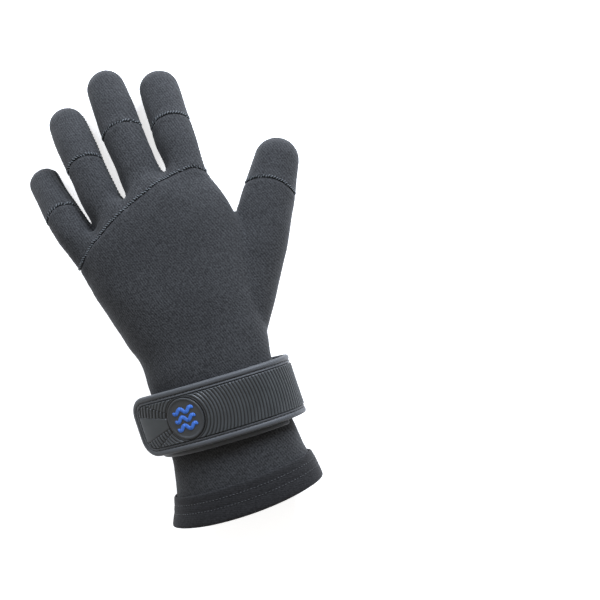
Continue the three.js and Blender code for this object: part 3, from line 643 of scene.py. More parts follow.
stations = np.concatenate([[-6.0], np.linspace(0, 0.746 * GLOVE_LENGTH, 92)])
lofts = [closed_loft(body_rings(stations, 0.0))]
lofts += [closed_loft(digit.rings()) for digit in digits.values()]
hull, hull_faces = joined(lofts, VOXEL)
edges = edge_list(hull_faces)
hull = eased(hull, edges, 14)
print("skin", len(hull), "points")

# %% [markdown]
# The knuckles' cloth flows into each finger, and between two fingers lies a short valley that ends in a
# round crotch. The lofts part too far ahead for that. They could be moved apart, but the fingers would
# get thin. The skin is pulled back round each crotch instead, and pressed in along the valley.

# %% Knuckles, valleys and crotches
# The crotches between the fingers, and how far each lies behind the place where the lofts part
CROTCHES = np.array([[-39.3, 196.9], [-13.6, 208.6], [13.5, 215.1]])
SLIDES = np.array([[2.4, -7.6], [0.6, -7.2], [1.4, -5.2]])
THUMB_CROTCH = np.array([0.50 * PALM_WIDTH, 0.555 * GLOVE_LENGTH])
PULL_REACH = 6.5
VALLEY_WIDTH = 3.4
VALLEY_DEPTH = 3.2


def from_spot(points, spot):
    return np.linalg.norm(points[:, :2] - spot, axis=1)


knuckle_line = row_at(KNUCKLE_SEAM, hull[:, 0] / PALM_WIDTH)[:, 1] * GLOVE_LENGTH
beyond = hull[:, 1] - knuckle_line
base = smoothstep(beyond, -14, -2) * (1 - smoothstep(beyond, 12, 24)) * (hull[:, 2] > 24)
hull = eased(hull, edges, 46, 0.5, 0.0, 0.9 * base)
for crotch, slide in zip(CROTCHES, SLIDES):
    pull = np.exp(-(from_spot(hull, crotch) / PULL_REACH) ** 2)[:, None]
    hull[:, :2] += pull * slide
    way = unit(slide)
    offset = hull[:, :2] - (crotch + slide)
    along = offset @ way
    aside = np.abs(offset @ np.array([way[1], -way[0]]))
    valley = np.exp(-(aside / VALLEY_WIDTH) ** 2)
    valley = valley * smoothstep(along, -6, 0) * (1 - smoothstep(along, 1, 12))
    hull[:, 2] -= VALLEY_DEPTH * valley * smoothstep(hull[:, 2], 26, 34)
thumb_web = 1 - smoothstep(from_spot(hull, THUMB_CROTCH), 9, 24)
webs = [1 - smoothstep(from_spot(hull, spot), 2, 8) for spot in CROTCHES + SLIDES]
finger_webs = np.max(webs, axis=0)
hull = eased(hull, edges, 26, 0.5, 0.0, 0.5 * np.maximum(thumb_web, 0.5 * finger_webs))
print("hull", len(hull), "points")

# %% [markdown]
# Foam rubber is never quite even: it swells a little between its seams and is drawn in under the strap
# and the hem. Displacing by a noise texture would do it too. Waves with a fixed seed are used, so that
# the seams and stitches that follow lie on the same uneven cloth.

# %% Soft unevenness
def normals_of(points, triangles):
    a, b, c = (points[triangles[:, k]] for k in range(3))
    face = np.cross(b - a, c - a)
    total = sum(sums_at(triangles[:, k], face, len(points)) for k in range(3))
    return total / np.maximum(np.linalg.norm(total, axis=1, keepdims=True), 1e-9)


def rolling(points, size, seed):
    """A smooth random field from -1 to 1, made of slanted waves of about one size."""
    random = np.random.default_rng(seed)
    total = np.zeros(len(points))
    for _ in range(14):
        way = unit(random.normal(size=3))
        length = size * random.uniform(0.7, 1.6)
        total += np.sin(points @ way * 2 * np.pi / length + random.uniform(0, 6.3))
    return total / 5.3


STRAP_WIDTH = 37.0
STRAP_CENTRE = 62.0
STRAP_SLANT = 0.04
BROAD_SWELL, SMALL_SWELL, CREASE, STRAP_PRESS = 0.42, 0.16, 0.3, 0.35
across_strap = np.abs(hull[:, 1] - STRAP_CENTRE + STRAP_SLANT * hull[:, 0])
under_strap = 1 - smoothstep(across_strap, STRAP_WIDTH / 2 - 2, STRAP_WIDTH / 2 + 9)
under_hem = 1 - smoothstep(hull[:, 1], HEM_LENGTH, HEM_LENGTH + 10)
loose = 1 - np.maximum(under_strap, under_hem)
swell = BROAD_SWELL * rolling(hull, 46, 3) + SMALL_SWELL * rolling(hull, 17, 5)
creases = CREASE * rolling(hull * np.array([0.35, 1.0, 0.35]), 15, 8)
beside = np.exp(-((hull[:, 1] - 98) / 14) ** 2) + np.exp(-((hull[:, 1] - 31) / 9) ** 2)
lift = loose * (swell + creases * beside) - STRAP_PRESS * under_strap
hull = hull + normals_of(hull, hull_faces) * lift[:, None]
print("swell, mm", lift.min().round(2), "to", lift.max().round(2))

# %% [markdown]
# ## Seams
#
# The sheets of the real glove meet edge to edge and are sewn blind, which leaves a narrow groove. Knife
# cuts along drawn curves could part the mesh. Here each seam is the zero line of a field over the hull,
# because a field can be shifted and bent by a number. The triangles are split along that line, and
# along two lines beside it, so that the groove gets an even edge.

# %% Fields of the seams
def side_height(x, y):
    """Half way up the hand's side, which the palm panel's seam follows."""
    share = [(y - d.root[1]) / (d.end[1] - d.root[1]) for d in fingers]
    xs = np.array([lerp(d.root[0], d.end[0], s) for d, s in zip(fingers, share)])
    k = np.clip((xs <= x).sum(axis=0), 1, 3)
    here = np.arange(len(x))
    t = np.clip((x - xs[k - 1, here]) / (xs[k, here] - xs[k - 1, here]), 0, 1)
    bends = np.array([(d.web, d.end[1], d.tip_height) for d in fingers]).T
    low, high, top = (lerp(bend[k - 1], bend[k], t) for bend in bends)
    past = np.clip((y - low) / (high - low), 0, 1)
    finger_side = lerp(KNUCKLE_HEIGHT, top, past ** FINGER_DROOP)
    flat = np.stack([x, y], axis=1) - thumb.root
    thumb_side = thumb.height(np.clip(flat @ thumb.along / thumb.length, 0, 1))
    return lerp(finger_side, thumb_side, smoothstep(x, 0.42 * PALM_WIDTH, 0.53 * PALM_WIDTH))


def fields(points):
    """Four columns, each below zero on one side of a seam: cuff end, palm, fingers and tips."""
    x, y, z = points.T
    wrist = row_at(WRIST_SEAM, x / PALM_WIDTH)[:, 1] * GLOVE_LENGTH
    knuckle = row_at(KNUCKLE_SEAM, x / PALM_WIDTH)[:, 1] * GLOVE_LENGTH
    cuff = y + CUFF_BOW * (1 - (2 * x / PALM_WIDTH) ** 2) - 4
    palm = np.maximum(z - side_height(x, y) + 1.5, wrist - y)
    finger = np.maximum(knuckle - y, x - 0.452 * PALM_WIDTH)
    tips = []
    for digit in digits.values():
        t = 1 - (digit.seam - digit.nose) / digit.length
        ahead, aside, _ = digit.axes(t)
        away = points - digit.point(t)
        half = digit.share(t) * digit.width / 2
        side = away @ aside
        place, bow = (0.8, 4.2) if digit is thumb else (-2.2, 2.4)
        arch = bow * (side / half) ** 2
        tips.append(np.maximum(place - away @ ahead - arch, np.abs(side) - 1.25 * half))
    return np.stack([cuff, palm, finger, np.min(tips, axis=0)], axis=1), np.argmin(tips, axis=0)


print("side seam's height at the knuckles, mm", side_height(np.zeros(1), np.array([180.0])).round(1))


# %% Cutting triangles along a line
def split(points, triangles, values, column, level):
    """Cuts triangles along a level line of one field."""
    field = values[:, column] - level
    field[np.abs(field) < 0.12] = 0.12
    above = field > 0
    mixed = above[triangles].any(axis=1) & ~above[triangles].all(axis=1)
    kept, cut = triangles[~mixed], triangles[mixed]
    signs = above[cut]
    lone = np.where(signs.sum(axis=1) == 1, signs.argmax(axis=1), (~signs).argmax(axis=1))
    rows = np.arange(len(cut))
    a, b, c = (cut[rows, (lone + k) % 3] for k in range(3))
    pairs = np.sort(np.vstack([np.stack([a, b], 1), np.stack([a, c], 1)]), axis=1)
    unique, back = np.unique(pairs, axis=0, return_inverse=True)
    back = back.reshape(-1)
    f0, f1 = field[unique[:, 0]], field[unique[:, 1]]
    t = (f0 / (f0 - f1))[:, None]
    new_points = lerp(points[unique[:, 0]], points[unique[:, 1]], t)
    new_values = lerp(values[unique[:, 0]], values[unique[:, 1]], t)
    new_values[:, column] = level
    p = len(points) + back[:len(cut)]
    q = len(points) + back[len(cut):]
    pieces = [kept, np.stack([a, p, q], 1), np.stack([p, b, c], 1), np.stack([p, c, q], 1)]
    return np.vstack([points, new_points]), np.vstack(pieces), np.vstack([values, new_values])


cut_once = split(np.eye(3), np.array([[0, 1, 2]]), np.eye(3), 0, 0.5)
print("one triangle cut once gives", len(cut_once[1]))


# %% Neighbours and islands
def neighbours(triangles):
    """The sides that two triangles share, and the numbers of those two."""
    pairs = np.sort(sides_of(triangles), axis=1)
    owner = np.tile(np.arange(len(triangles)), 3)
    order = np.lexsort((pairs[:, 1], pairs[:, 0]))
    pairs, owner = pairs[order], owner[order]
    same = (pairs[:-1] == pairs[1:]).all(axis=1)
    return pairs[:-1][same], owner[:-1][same], owner[1:][same]


def without_islands(triangles, labels, least=60):
    """Gives each small island of one panel to the panel round it."""
    _, one, other = neighbours(triangles)
    alike = labels[one] == labels[other]
    island = np.arange(len(triangles))
    while True:
        lowest = island.copy()
        np.minimum.at(lowest, one[alike], island[other[alike]])
        np.minimum.at(lowest, other[alike], island[one[alike]])
        lowest = lowest[lowest]
        if (lowest == island).all():
            break
        island = lowest
    small = np.bincount(island)[island] < least
    print(int(small.sum()), "triangles in small islands")
    labels = labels.copy()
    while small.any():
        for a, b in ((one, other), (other, one)):
            taken = small[a] & ~small[b]
            labels[a[taken]] = labels[b[taken]]
            small[a[taken]] = False
    return labels


print("sides of two joined triangles that both share", neighbours(np.array([[0, 1, 2], [2, 1, 3]]))[0])

# %% The panels' triangles
SEAM_HALF = 0.8
SEAM_LEVELS = (-SEAM_HALF, 0.0, SEAM_HALF)
BACK, FINGERS, PALM, TIPS = 0, 1, 2, 3
values, _ = fields(hull)
for column, levels in enumerate([(0.0,), SEAM_LEVELS, SEAM_LEVELS, SEAM_LEVELS]):
    for level in levels:
        hull, hull_faces, values = split(hull, hull_faces, values, column, level)
hull_faces = hull_faces[values[hull_faces, 0].mean(axis=1) > 0]
tri_values = values[hull_faces].mean(axis=1)
_, tip_of = fields(hull[hull_faces].mean(axis=1))
label = np.where(tri_values[:, 2] < 0, FINGERS, BACK)
label = np.where(tri_values[:, 3] < 0, TIPS + tip_of, label)
label = np.where(tri_values[:, 1] < 0, PALM, label)
label = without_islands(hull_faces, label)
print("triangles of each panel", np.bincount(label).tolist())

# %% [markdown]
# The groove, the stitches and the panels' edges all follow the seams, so the seams are needed as lines.
# They are read from the mesh and not drawn again: a side whose two triangles lie in different panels
# belongs to a seam, and such sides are chained into paths.

# %% Seam lines
def seam_edges(triangles, labels):
    """Edges between two panels, with the two labels."""
    pairs, one, other = neighbours(triangles)
    both = np.stack([labels[one], labels[other]], axis=1)
    differ = both[:, 0] != both[:, 1]
    return pairs[differ], np.sort(both[differ], axis=1)


def chained(edges):
    """Paths of point numbers through a set of edges."""
    links = {}
    for a, b in edges.tolist():
        links.setdefault(a, []).append(b)
        links.setdefault(b, []).append(a)
    used = set()
    paths = []
    for begin in sorted(links, key=lambda k: (len(links[k]) == 2, k)):
        for onward in links[begin]:
            if (min(begin, onward), max(begin, onward)) in used:
                continue
            path = [begin]
            now = onward
            used.add((min(begin, now), max(begin, now)))
            while True:
                path.append(now)
                ahead = [k for k in links[now] if (min(now, k), max(now, k)) not in used]
                if len(links[now]) != 2 or not ahead:
                    break
                used.add((min(now, ahead[0]), max(now, ahead[0])))
                now = ahead[0]
            paths.append(path)
    return paths


borders, sides = seam_edges(hull_faces, label)
seam_points = np.unique(borders)
tree = finder(hull[seam_points])
distance = np.array([tree.find(point)[2] for point in hull])
print(len(seam_points), "seam points")

# %% The groove along each seam, and the roll of cloth behind the knuckle and fingertip seams
GROOVE_DEPTH, GROOVE_WIDTH = 0.55, 0.7
SHOULDER, ROLL = 0.2, 0.4
groove = SHOULDER * np.exp(-((distance - 2.8) / 1.5) ** 2)
groove = -GROOVE_DEPTH * np.exp(-(distance / GROOVE_WIDTH) ** 2) + groove
roll = np.maximum(*(np.exp(-((values[:, k] + 1.25) / 0.7) ** 2) for k in (2, 3)))
roll = roll * (values[:, 1] > 2)
hull_normals = normals_of(hull, hull_faces)
hull = hull + hull_normals * (groove + ROLL * roll)[:, None]
hull_normals = normals_of(hull, hull_faces)
# How much each point's knit is darkened near a seam: painted shade in the groove, with the dark thread
seam_thread_and_shade = np.clip(1.15 - distance / 1.1, 0, 1) ** 1.5
print("relief at the seams, mm", (groove + ROLL * roll).min().round(2))

# %% [markdown]
# ## Panels
#
# A panel of the real glove is a sheet of foam rubber 3 mm thick. A solidify modifier could thicken it,
# but it folds over in the tight crotches. Here each panel is its part of the hull, with a second skin
# inside it along evened directions. Its edge is drawn back a little, so that two panels meet in a line.

# %% The panels
EDGE_GAP = 0.06
even_normals = unit(eased(hull_normals, edge_list(hull_faces), 12, 0.5, 0.0))


def panel(name, number, material, slot, replaced):
    own = hull_faces[label == number]
    used, back = np.unique(own, return_inverse=True)
    triangles = back.reshape(-1, 3)
    points = hull[used].copy()
    centres = points[triangles].mean(axis=1)
    total = sum(sums_at(triangles[:, k], centres, len(points)) for k in range(3))
    count = np.bincount(triangles.ravel(), minlength=len(points))[:, None]
    on_seam = np.isin(used, seam_points)
    pull = unit(total / count - points + 1e-9)
    points[on_seam] += EDGE_GAP * pull[on_seam]
    inside_points = points - WALL * even_normals[used]
    inside_points[:, 2] = np.maximum(inside_points[:, 2], points[:, 2].min() + 0.5)
    ways = sides_of(triangles)
    _, first, times = np.unique(np.sort(ways, axis=1), axis=0, return_index=True, return_counts=True)
    rim = ways[first[times == 1]]
    n = len(points)
    walls = np.stack([rim[:, 1], rim[:, 0], rim[:, 0] + n, rim[:, 1] + n], axis=1)
    faces = triangles.tolist() + (triangles[:, ::-1] + n).tolist() + walls.tolist()
    both = np.vstack([points, inside_points])
    piece = made(name, both, faces, material, slot, replaced, closed=False)
    # The seam mark carries the painted shade and dark thread of the seams
    mark(piece, "seam", np.tile(seam_thread_and_shade[used], 2))


back_nodes = ["cuff_panel", "back_panel", "back_thumb"]
panel("back_of_hand", BACK, HAND_JERSEY, "jersey", back_nodes)
finger_nodes = ["back_index", "back_middle", "back_ring", "back_little"]
panel("finger_backs", FINGERS, HAND_JERSEY, "jersey", finger_nodes)
grip_nodes = ["grip_palm"] + ["grip_" + name for name in digits]
panel("palm_side", PALM, GRIP_JERSEY, "grip_cloth", grip_nodes)
for i, name in enumerate(digits):
    panel("fingertip_" + name, TIPS + i, HAND_JERSEY, "jersey", ["tip_" + name])

# %% [markdown]
# ## Stitches
#
# The seams are locked by short slanted stitches that lie on the cloth. A texture would look flat at
# this distance, and curves would need many objects. A stitch is a small turned bar here, and a whole
# row of them is one mesh.

# %% Rows of stitches
# A bar's half width for each share of its length
BAR_PROFILE = [(0.0, -0.5), (0.62, -0.44), (1.0, -0.2), (1.0, 0.2), (0.62, 0.44), (0.0, 0.5)]
BAR_POINTS, BAR_FACES = turned(BAR_PROFILE, 6)


def bars(name, rows, size, material, slot):
    """Many small rounded bars in one piece, from rows of places, ways and ups."""
    length, width, height = size
    centres, ways, ups = (np.vstack(column) for column in zip(*rows))
    ways = unit(ways - ups * (ways * ups).sum(axis=1, keepdims=True))
    asides = np.cross(ups, ways)
    across, over, along = (BAR_POINTS * (width / 2, height / 2, length)).T[:, None, :, None]
    points = centres[:, None] + ways[:, None] * along + asides[:, None] * across + ups[:, None] * over
    starts = np.arange(len(centres)) * len(BAR_POINTS)
    faces = [[int(start) + k for k in face] for start in starts for face in BAR_FACES]
    made(name, points.reshape(-1, 3), faces, material, slot)


print("a stitch has", len(BAR_POINTS), "points")


# %% Laying rows on the cloth
def laid(path_points, path_ups, pitch, rounds=3):
    """Even steps along a path: places, directions and ups."""
    points = np.asarray(path_points, float)
    for _ in range(rounds):
        points[1:-1] = 0.25 * points[:-2] + 0.5 * points[1:-1] + 0.25 * points[2:]
    steps = np.linalg.norm(np.diff(points, axis=0), axis=1)
    lengths = np.concatenate([[0], np.cumsum(steps)])
    count = max(int(lengths[-1] / pitch), 2)
    at = (np.arange(count) + 0.5) * lengths[-1] / count
    def read_at(places, values):
        return np.stack([np.interp(places, lengths, values[:, k]) for k in range(3)], axis=1)

    ahead = read_at(at + 0.6, points) - read_at(at - 0.6, points)
    return read_at(at, points), unit(ahead), unit(read_at(at, np.asarray(path_ups)))


skin = BVHTree.FromPolygons(hull.tolist(), hull_faces.tolist())
skin_tree = finder(hull)


def up_at(point, count=9):
    """The cloth's way out near a point, averaged over the nearest points."""
    total = sum(hull_normals[found[1]] for found in skin_tree.find_n(point, count))
    return total / np.linalg.norm(total)


def set_down(points, lift):
    """Points moved onto the cloth, with the cloth's ups."""
    ups = np.array([up_at(point) for point in points])
    places = np.array([np.array(skin.find_nearest(point)[0]) for point in points])
    return places + ups * lift, ups


print("up at the middle of the hand", up_at((0, 150, 50)).round(2))


# %% Which side of a seam, and which seams
def toward(place, ahead, ups, target):
    """The way along the cloth, square to a path, on the side that target points to."""
    aside = np.cross(ups, ahead)
    sign = np.sign((aside * target).sum(axis=1, keepdims=True))
    return unit(aside * np.where(sign == 0, 1, sign))


def paths_between(one, other):
    chosen = (sides == np.sort([one, other])).all(axis=1)
    return [path for path in chained(borders[chosen]) if len(path) > 12]


print("knuckle seam's paths", len(paths_between(BACK, FINGERS)))

# %% Slanted stitches along the seams of the back
FORWARD = np.array([0.0, 1.0, 0.0])
SEAM_PITCH, SEAM_INSET, SEAM_SLANT = 1.55, 1.2, math.radians(55)
top_paths = paths_between(BACK, FINGERS)
for number in range(TIPS, TIPS + len(digits)):
    top_paths += paths_between(number, FINGERS) + paths_between(number, BACK)
rows = []
for path in top_paths:
    print("top seam of", len(path), "points")
    place, ahead, up = laid(hull[path], hull_normals[path], SEAM_PITCH, 8)
    aside = toward(place, ahead, up, FORWARD)
    spot, out = set_down(place + aside * SEAM_INSET, 0.06)
    rows.append((spot, ahead * np.cos(SEAM_SLANT) + aside * np.sin(SEAM_SLANT), out))
bars("seam_stitches", rows, (1.9, 0.62, 0.5), LIGHT_THREAD, "jersey")

# %% The palm panel's edge: a line of stitches just inside it
palm_side = np.isin(sides, [PALM]).any(axis=1)
palm_paths = [path for path in chained(borders[palm_side]) if len(path) > 12]
own = hull_faces[label == PALM]
palm_centres = hull[own].mean(axis=1)
palm_tree = finder(palm_centres)


def palm_target(place):
    """The way from each place to the palm panel's cloth."""
    found = [[hit[1] for hit in palm_tree.find_n(point, 14)] for point in place]
    return np.array([palm_centres[numbers].mean(axis=0) for numbers in found]) - place


palm_surface = BVHTree.FromPolygons(hull.tolist(), own.tolist())
rows = []
for path in palm_paths:
    place, ahead, up = laid(hull[path], hull_normals[path], 2.3, 6)
    aside = toward(place, ahead, up, palm_target(place))
    spot, out = set_down(place + aside * 1.7, 0.1)
    rows.append((spot, ahead, out))
bars("palm_stitches", rows, (1.5, 0.42, 0.4), LIGHT_THREAD, "grip_cloth")

# %% [markdown]
# ## The grip print
#
# The palm side is printed with thin raised lines of rubber: arcs round a plain circle on the palm, up
# the fingers and along the thumb's outer edge. A wedge from the circle to the thumb stays plain. A bump
# map would lose the lines at the edge of the hand, so they are small ridges. They are drawn on the plan
# and thrown up onto the palm from below, as the printing screen does, and stop short of its edge.

# %% Lines of the print on the plan
PRINT_CENTRE = np.array([-22.0, 141.0])
arcs_top = np.array([[-5.5, 159.3], [14.2, 169.2], [34.6, 176.8], [39, 178.5]])
arcs_foot = np.array([
    [0, 132.3], [17.6, 136], [35.8, 142.4], [49.1, 148.2], [59.5, 156.4], [69.2, 166.9],
    [78.8, 177.9], [84, 186.6],
])
crotch_line = np.array([[-2.4, 150.2], [16.4, 160.5], [29.5, 167.0], [36.6, 168.6], [42, 167.4]])
thumb_line = np.array([
    [-1.4, 143.8], [19.3, 148.8], [39.8, 155.8], [53.5, 165.4], [64, 177.9], [73.3, 190.1],
    [82, 198.6],
])
wedge = np.vstack([arcs_top, [[50, 182], [60, 195], [75, 215], [95, 215], [92, 196]], arcs_foot[::-1]])


def inside(points, outline):
    """Which points lie in a closed outline."""
    x, y = points.T
    result = np.zeros(len(points), bool)
    for (x1, y1), (x2, y2) in zip(outline, np.roll(outline, -1, axis=0)):
        if y1 == y2:
            continue
        crosses = (y1 > y) != (y2 > y)
        result ^= crosses & (x < (x2 - x1) * (y - y1) / (y2 - y1) + x1)
    return result


print("a point in the plain wedge", inside(np.array([[60.0, 180.0]]), wedge))


# %% Circles and curves on the plan
def curve(points, count):
    """An even, smooth curve through some points."""
    t = np.linspace(0, 1, len(points))
    table = np.column_stack([t, points])
    return row_at(table, np.linspace(0, 1, count))[:, 1:]


rings = [18.0, 20.8]
radius = 24.6
while radius < 175:
    rings.append(radius)
    radius += 3.8 if radius < 62 else 5.2
flat_lines = []
for r in rings:
    angle = np.linspace(0, 2 * np.pi, int(2 * np.pi * r / 1.3) + 1)
    flat = PRINT_CENTRE + r * np.stack([np.cos(angle), np.sin(angle)], axis=1)
    keep = np.ones(len(flat), bool) if r < 21 else ~inside(flat, wedge)
    for part in np.split(np.arange(len(flat)), np.flatnonzero(np.diff(keep.astype(int))) + 1):
        if len(part) > 3 and keep[part[0]]:
            flat_lines.append(flat[part])
flat_lines += [curve(crotch_line, 50), curve(thumb_line, 100)]
print(len(flat_lines), "lines on the plan")

# %% The ridges, thrown up onto the palm
edge_tree = finder(hull[np.concatenate(palm_paths)])


def thrown(flat, margin=4.2):
    """Runs of points on the palm's cloth, straight above some points of the plan."""
    runs, run = [], []
    for x, y in flat:
        hit = palm_surface.ray_cast((x, y, -30), (0, 0, 1))
        good = hit[0] is not None and abs(hit[1].z) > 0.25 and edge_tree.find(hit[0])[2] > margin
        if good:
            run.append((np.array(hit[0]), up_at(hit[0])))
        elif run:
            runs.append(run)
            run = []
    if run:
        runs.append(run)
    return [r for r in runs if len(r) > 3]


RIDGE = [(-0.5, -0.12), (-0.42, 0.14), (-0.2, 0.3), (0.2, 0.3), (0.42, 0.14), (0.5, -0.12)]
parts = []
for run in [run for flat in flat_lines for run in thrown(flat)]:
    place, ups = (np.array(column) for column in zip(*run))
    aside = np.cross(ups, unit(np.gradient(place, axis=0)))
    width = 0.85 if len(run) > 8 else 0.75
    taper = np.ones((len(run), 1))
    taper[[0, -1]] = 0.15
    ridge = [place + aside * across * width * taper + ups * up * taper for across, up in RIDGE]
    parts.append(closed_loft(np.stack(ridge, axis=1)))
points, faces = merged(parts)
points[:, 2] = np.maximum(points[:, 2], 0.05)
made("grip_print", points, faces, PRINT_RUBBER, "grip_cloth")

# %% [markdown]
# ## The hem
#
# The cuff ends in a band of thin knit that is folded over the foam rubber's edge and held by two rows
# of stitches. A thickened copy of the cuff would have a sharp rim. One profile is carried round the
# cuff instead, because it can hold the soft fold, the top edge and the dents under both rows.

# %% The hem's profile: how far in from the cuff's face, and how far along the glove
HEM_ROWS = (13.4, 8.6)
outer = -(HEM_CLOTH + CLEARANCE)
inner = WALL + CLEARANCE + HEM_CLOTH
middle, half = (outer + inner) / 2, (inner - outer) / 2
top_edge = [(0.75, HEM_LENGTH + 0.02), (0.3, HEM_LENGTH - 0.12), (0.0, HEM_LENGTH - 0.65)]
faced = [(-0.12, y) for y in np.linspace(16.6, 14.4, 3)]
dented = [(0.1, HEM_ROWS[0]), (-0.1, 12.4), (-0.15, 10.8), (-0.08, 9.6), (0.12, HEM_ROWS[1]),
          (-0.1, 7.6)]
swelled = [(-0.2, y) for y in np.linspace(6.4, 2.6, 4)]
profile = [(outer + more, y) for more, y in top_edge + faced + dented + swelled]
bend = np.linspace(0.1, np.pi - 0.1, 13)
profile += [(middle - half * np.cos(a), 1.6 - 1.6 * np.sin(a)) for a in bend]
profile += [(inner, y) for y in np.linspace(2.6, HEM_FOLD - 0.4, 4)]
profile += [(inner - 0.5, HEM_FOLD), (inner - HEM_CLOTH + 0.1, HEM_FOLD - 0.4)]
profile += [(WALL + CLEARANCE, 5.0), (WALL + CLEARANCE, 3.4), (middle, 2.6), (-CLEARANCE, 3.4)]
profile += [(-CLEARANCE, 8.0), (-CLEARANCE, 13.0), (-CLEARANCE - 0.05, HEM_LENGTH - 0.5)]
print("the hem's profile has", len(profile), "points")

# %% The hem band
HEM_COLUMNS = 220
insets = np.array([p[0] for p in profile])
places = np.array([p[1] for p in profile])
hem_rings = body_rings(places, insets, HEM_COLUMNS)
out = unit(hem_rings - hem_rings.mean(axis=1, keepdims=True)) * np.array([1, 0, 1])
ripple = 0.25 * rolling(hem_rings.reshape(-1, 3), 33, 12).reshape(hem_rings.shape[:2])
hem_rings = hem_rings + out * (ripple * (hem_rings[..., 2] > 4))[..., None]
hem_faces = quads(len(profile), HEM_COLUMNS, wrap_rows=True, wrap_columns=True)
hem = made("cuff_hem", hem_rings.reshape(-1, 3), hem_faces, HEM_JERSEY, "hem_cloth", ["hem_band"])
mark(hem, "seam")

# %% The hem's two rows of stitches
rows = []
for row in HEM_ROWS:
    ring = body_rings([row], outer + 0.05, 720)[0]
    ring = np.vstack([ring, ring[:1]])
    place, ahead, _ = laid(ring, np.tile([0.0, 0.0, 1.0], (len(ring), 1)), 2.15)
    up = unit(np.cross(ahead, FORWARD))
    up *= np.sign((up * (place - np.array([3.0, row, 30.0]))).sum(axis=1, keepdims=True))
    place = place + up * 0.12
    show = place[:, 2] > 0.5
    rows.append((place[show], ahead[show], up[show]))
bars("hem_stitches", rows, (1.2, 0.4, 0.36), DULL_THREAD, "hem_cloth")

# %% [markdown]
# ## The strap
#
# A band of thin foam rubber goes round the wrist in two lengths. Both turn round a plastic ring, and
# the upper one is pulled tight and pressed onto the lower one. A curve with a bevel can't carry ribs
# and bindings, so each length has a line in the XZ plane, and everything on it is given along the line,
# across the strap and out from the middle of its cloth.

# %% Sizes of the strap, in millimetres and degrees
STRAP_CLOTH = 1.8
TAPE_WIDTH = 4.0
TAPE_CLOTH = 0.4
PILE_CLOTH = 0.9
PAD_CLOTH = 0.9
RING_BAR = 3.2
RING_SPAN = 11.8
RING_CORNER = 5.0
RING_PLAY = 1.0
RING_ANGLE = 308.0
RETURN_RUN = 11.0
TAIL_ANGLE = 122.0
TAIL_LENGTH = 33.0
TAIL_RADIUS = 62.0
TAIL_CORNER = 12.0
LOWER_DRIFT = 3.0
LOWER_END_ANGLE = 28
LEAVE_ANGLE = 30
print("strap", STRAP_WIDTH, "mm wide,", STRAP_CLOTH + 2 * TAPE_CLOTH, "mm thick at its binding")

# %% Lines of the two lengths of strap
wrist = row_at(BODY, STRAP_CENTRE / GLOVE_LENGTH)[0]
half_x, mid_x = (wrist[2] - wrist[1]) / 2 * PALM_WIDTH, (wrist[2] + wrist[1]) / 2 * PALM_WIDTH
half_z, mid_z = (wrist[4] - wrist[3]) / 2 * HAND_HEIGHT, (wrist[4] + wrist[3]) / 2 * HAND_HEIGHT


def beside_wrist(angle, offset):
    """A point beside the wrist, at an angle from the thumb's side towards the back of the hand."""
    angle, offset = np.broadcast_arrays(np.radians(np.asarray(angle, float)), offset)
    c, s = bent(np.cos(angle), 2 / wrist[5]), bent(np.sin(angle), 2 / wrist[5])
    lean = np.stack([bent(c, wrist[5] - 1) / half_x, bent(s, wrist[5] - 1) / half_z], axis=-1)
    place = np.stack([mid_x + half_x * c, mid_z + half_z * s], axis=-1)
    return place + unit(lean) * offset[..., None]


def along_wrist(first, last, first_offset, last_offset, ease):
    angle = np.linspace(first, last, int(abs(last - first) / 2) + 1)
    share = smoothstep(np.abs(angle - first), 0, ease)
    return beside_wrist(angle, lerp(first_offset, last_offset, share))


tape_half = STRAP_CLOTH / 2 + TAPE_CLOTH + CLEARANCE / 2
inner_offset = CLEARANCE + STRAP_CLOTH / 2
lower_offset = 2 * CLEARANCE + tape_half
pile_top = lower_offset + STRAP_CLOTH / 2 + CLEARANCE + PILE_CLOTH
upper_offset = max(pile_top, lower_offset + tape_half) + CLEARANCE + tape_half
turn_radius = RING_BAR / 2 + 2 * CLEARANCE + tape_half
ring_offset = inner_offset + turn_radius + 0.5
lifted_offset = ring_offset + turn_radius
ring_middle = beside_wrist(RING_ANGLE, ring_offset)
ring_along = unit(beside_wrist(RING_ANGLE + 1, ring_offset) - beside_wrist(RING_ANGLE - 1, ring_offset))
ring_out = np.array([ring_along[1], -ring_along[0]])
girth = math.pi * (half_x + half_z) / 360
bar_angle = RING_SPAN / 2 / girth
lead_angle = RETURN_RUN * 0.55 / girth
print("the upper length lies", round(upper_offset, 2), "mm off the cuff")


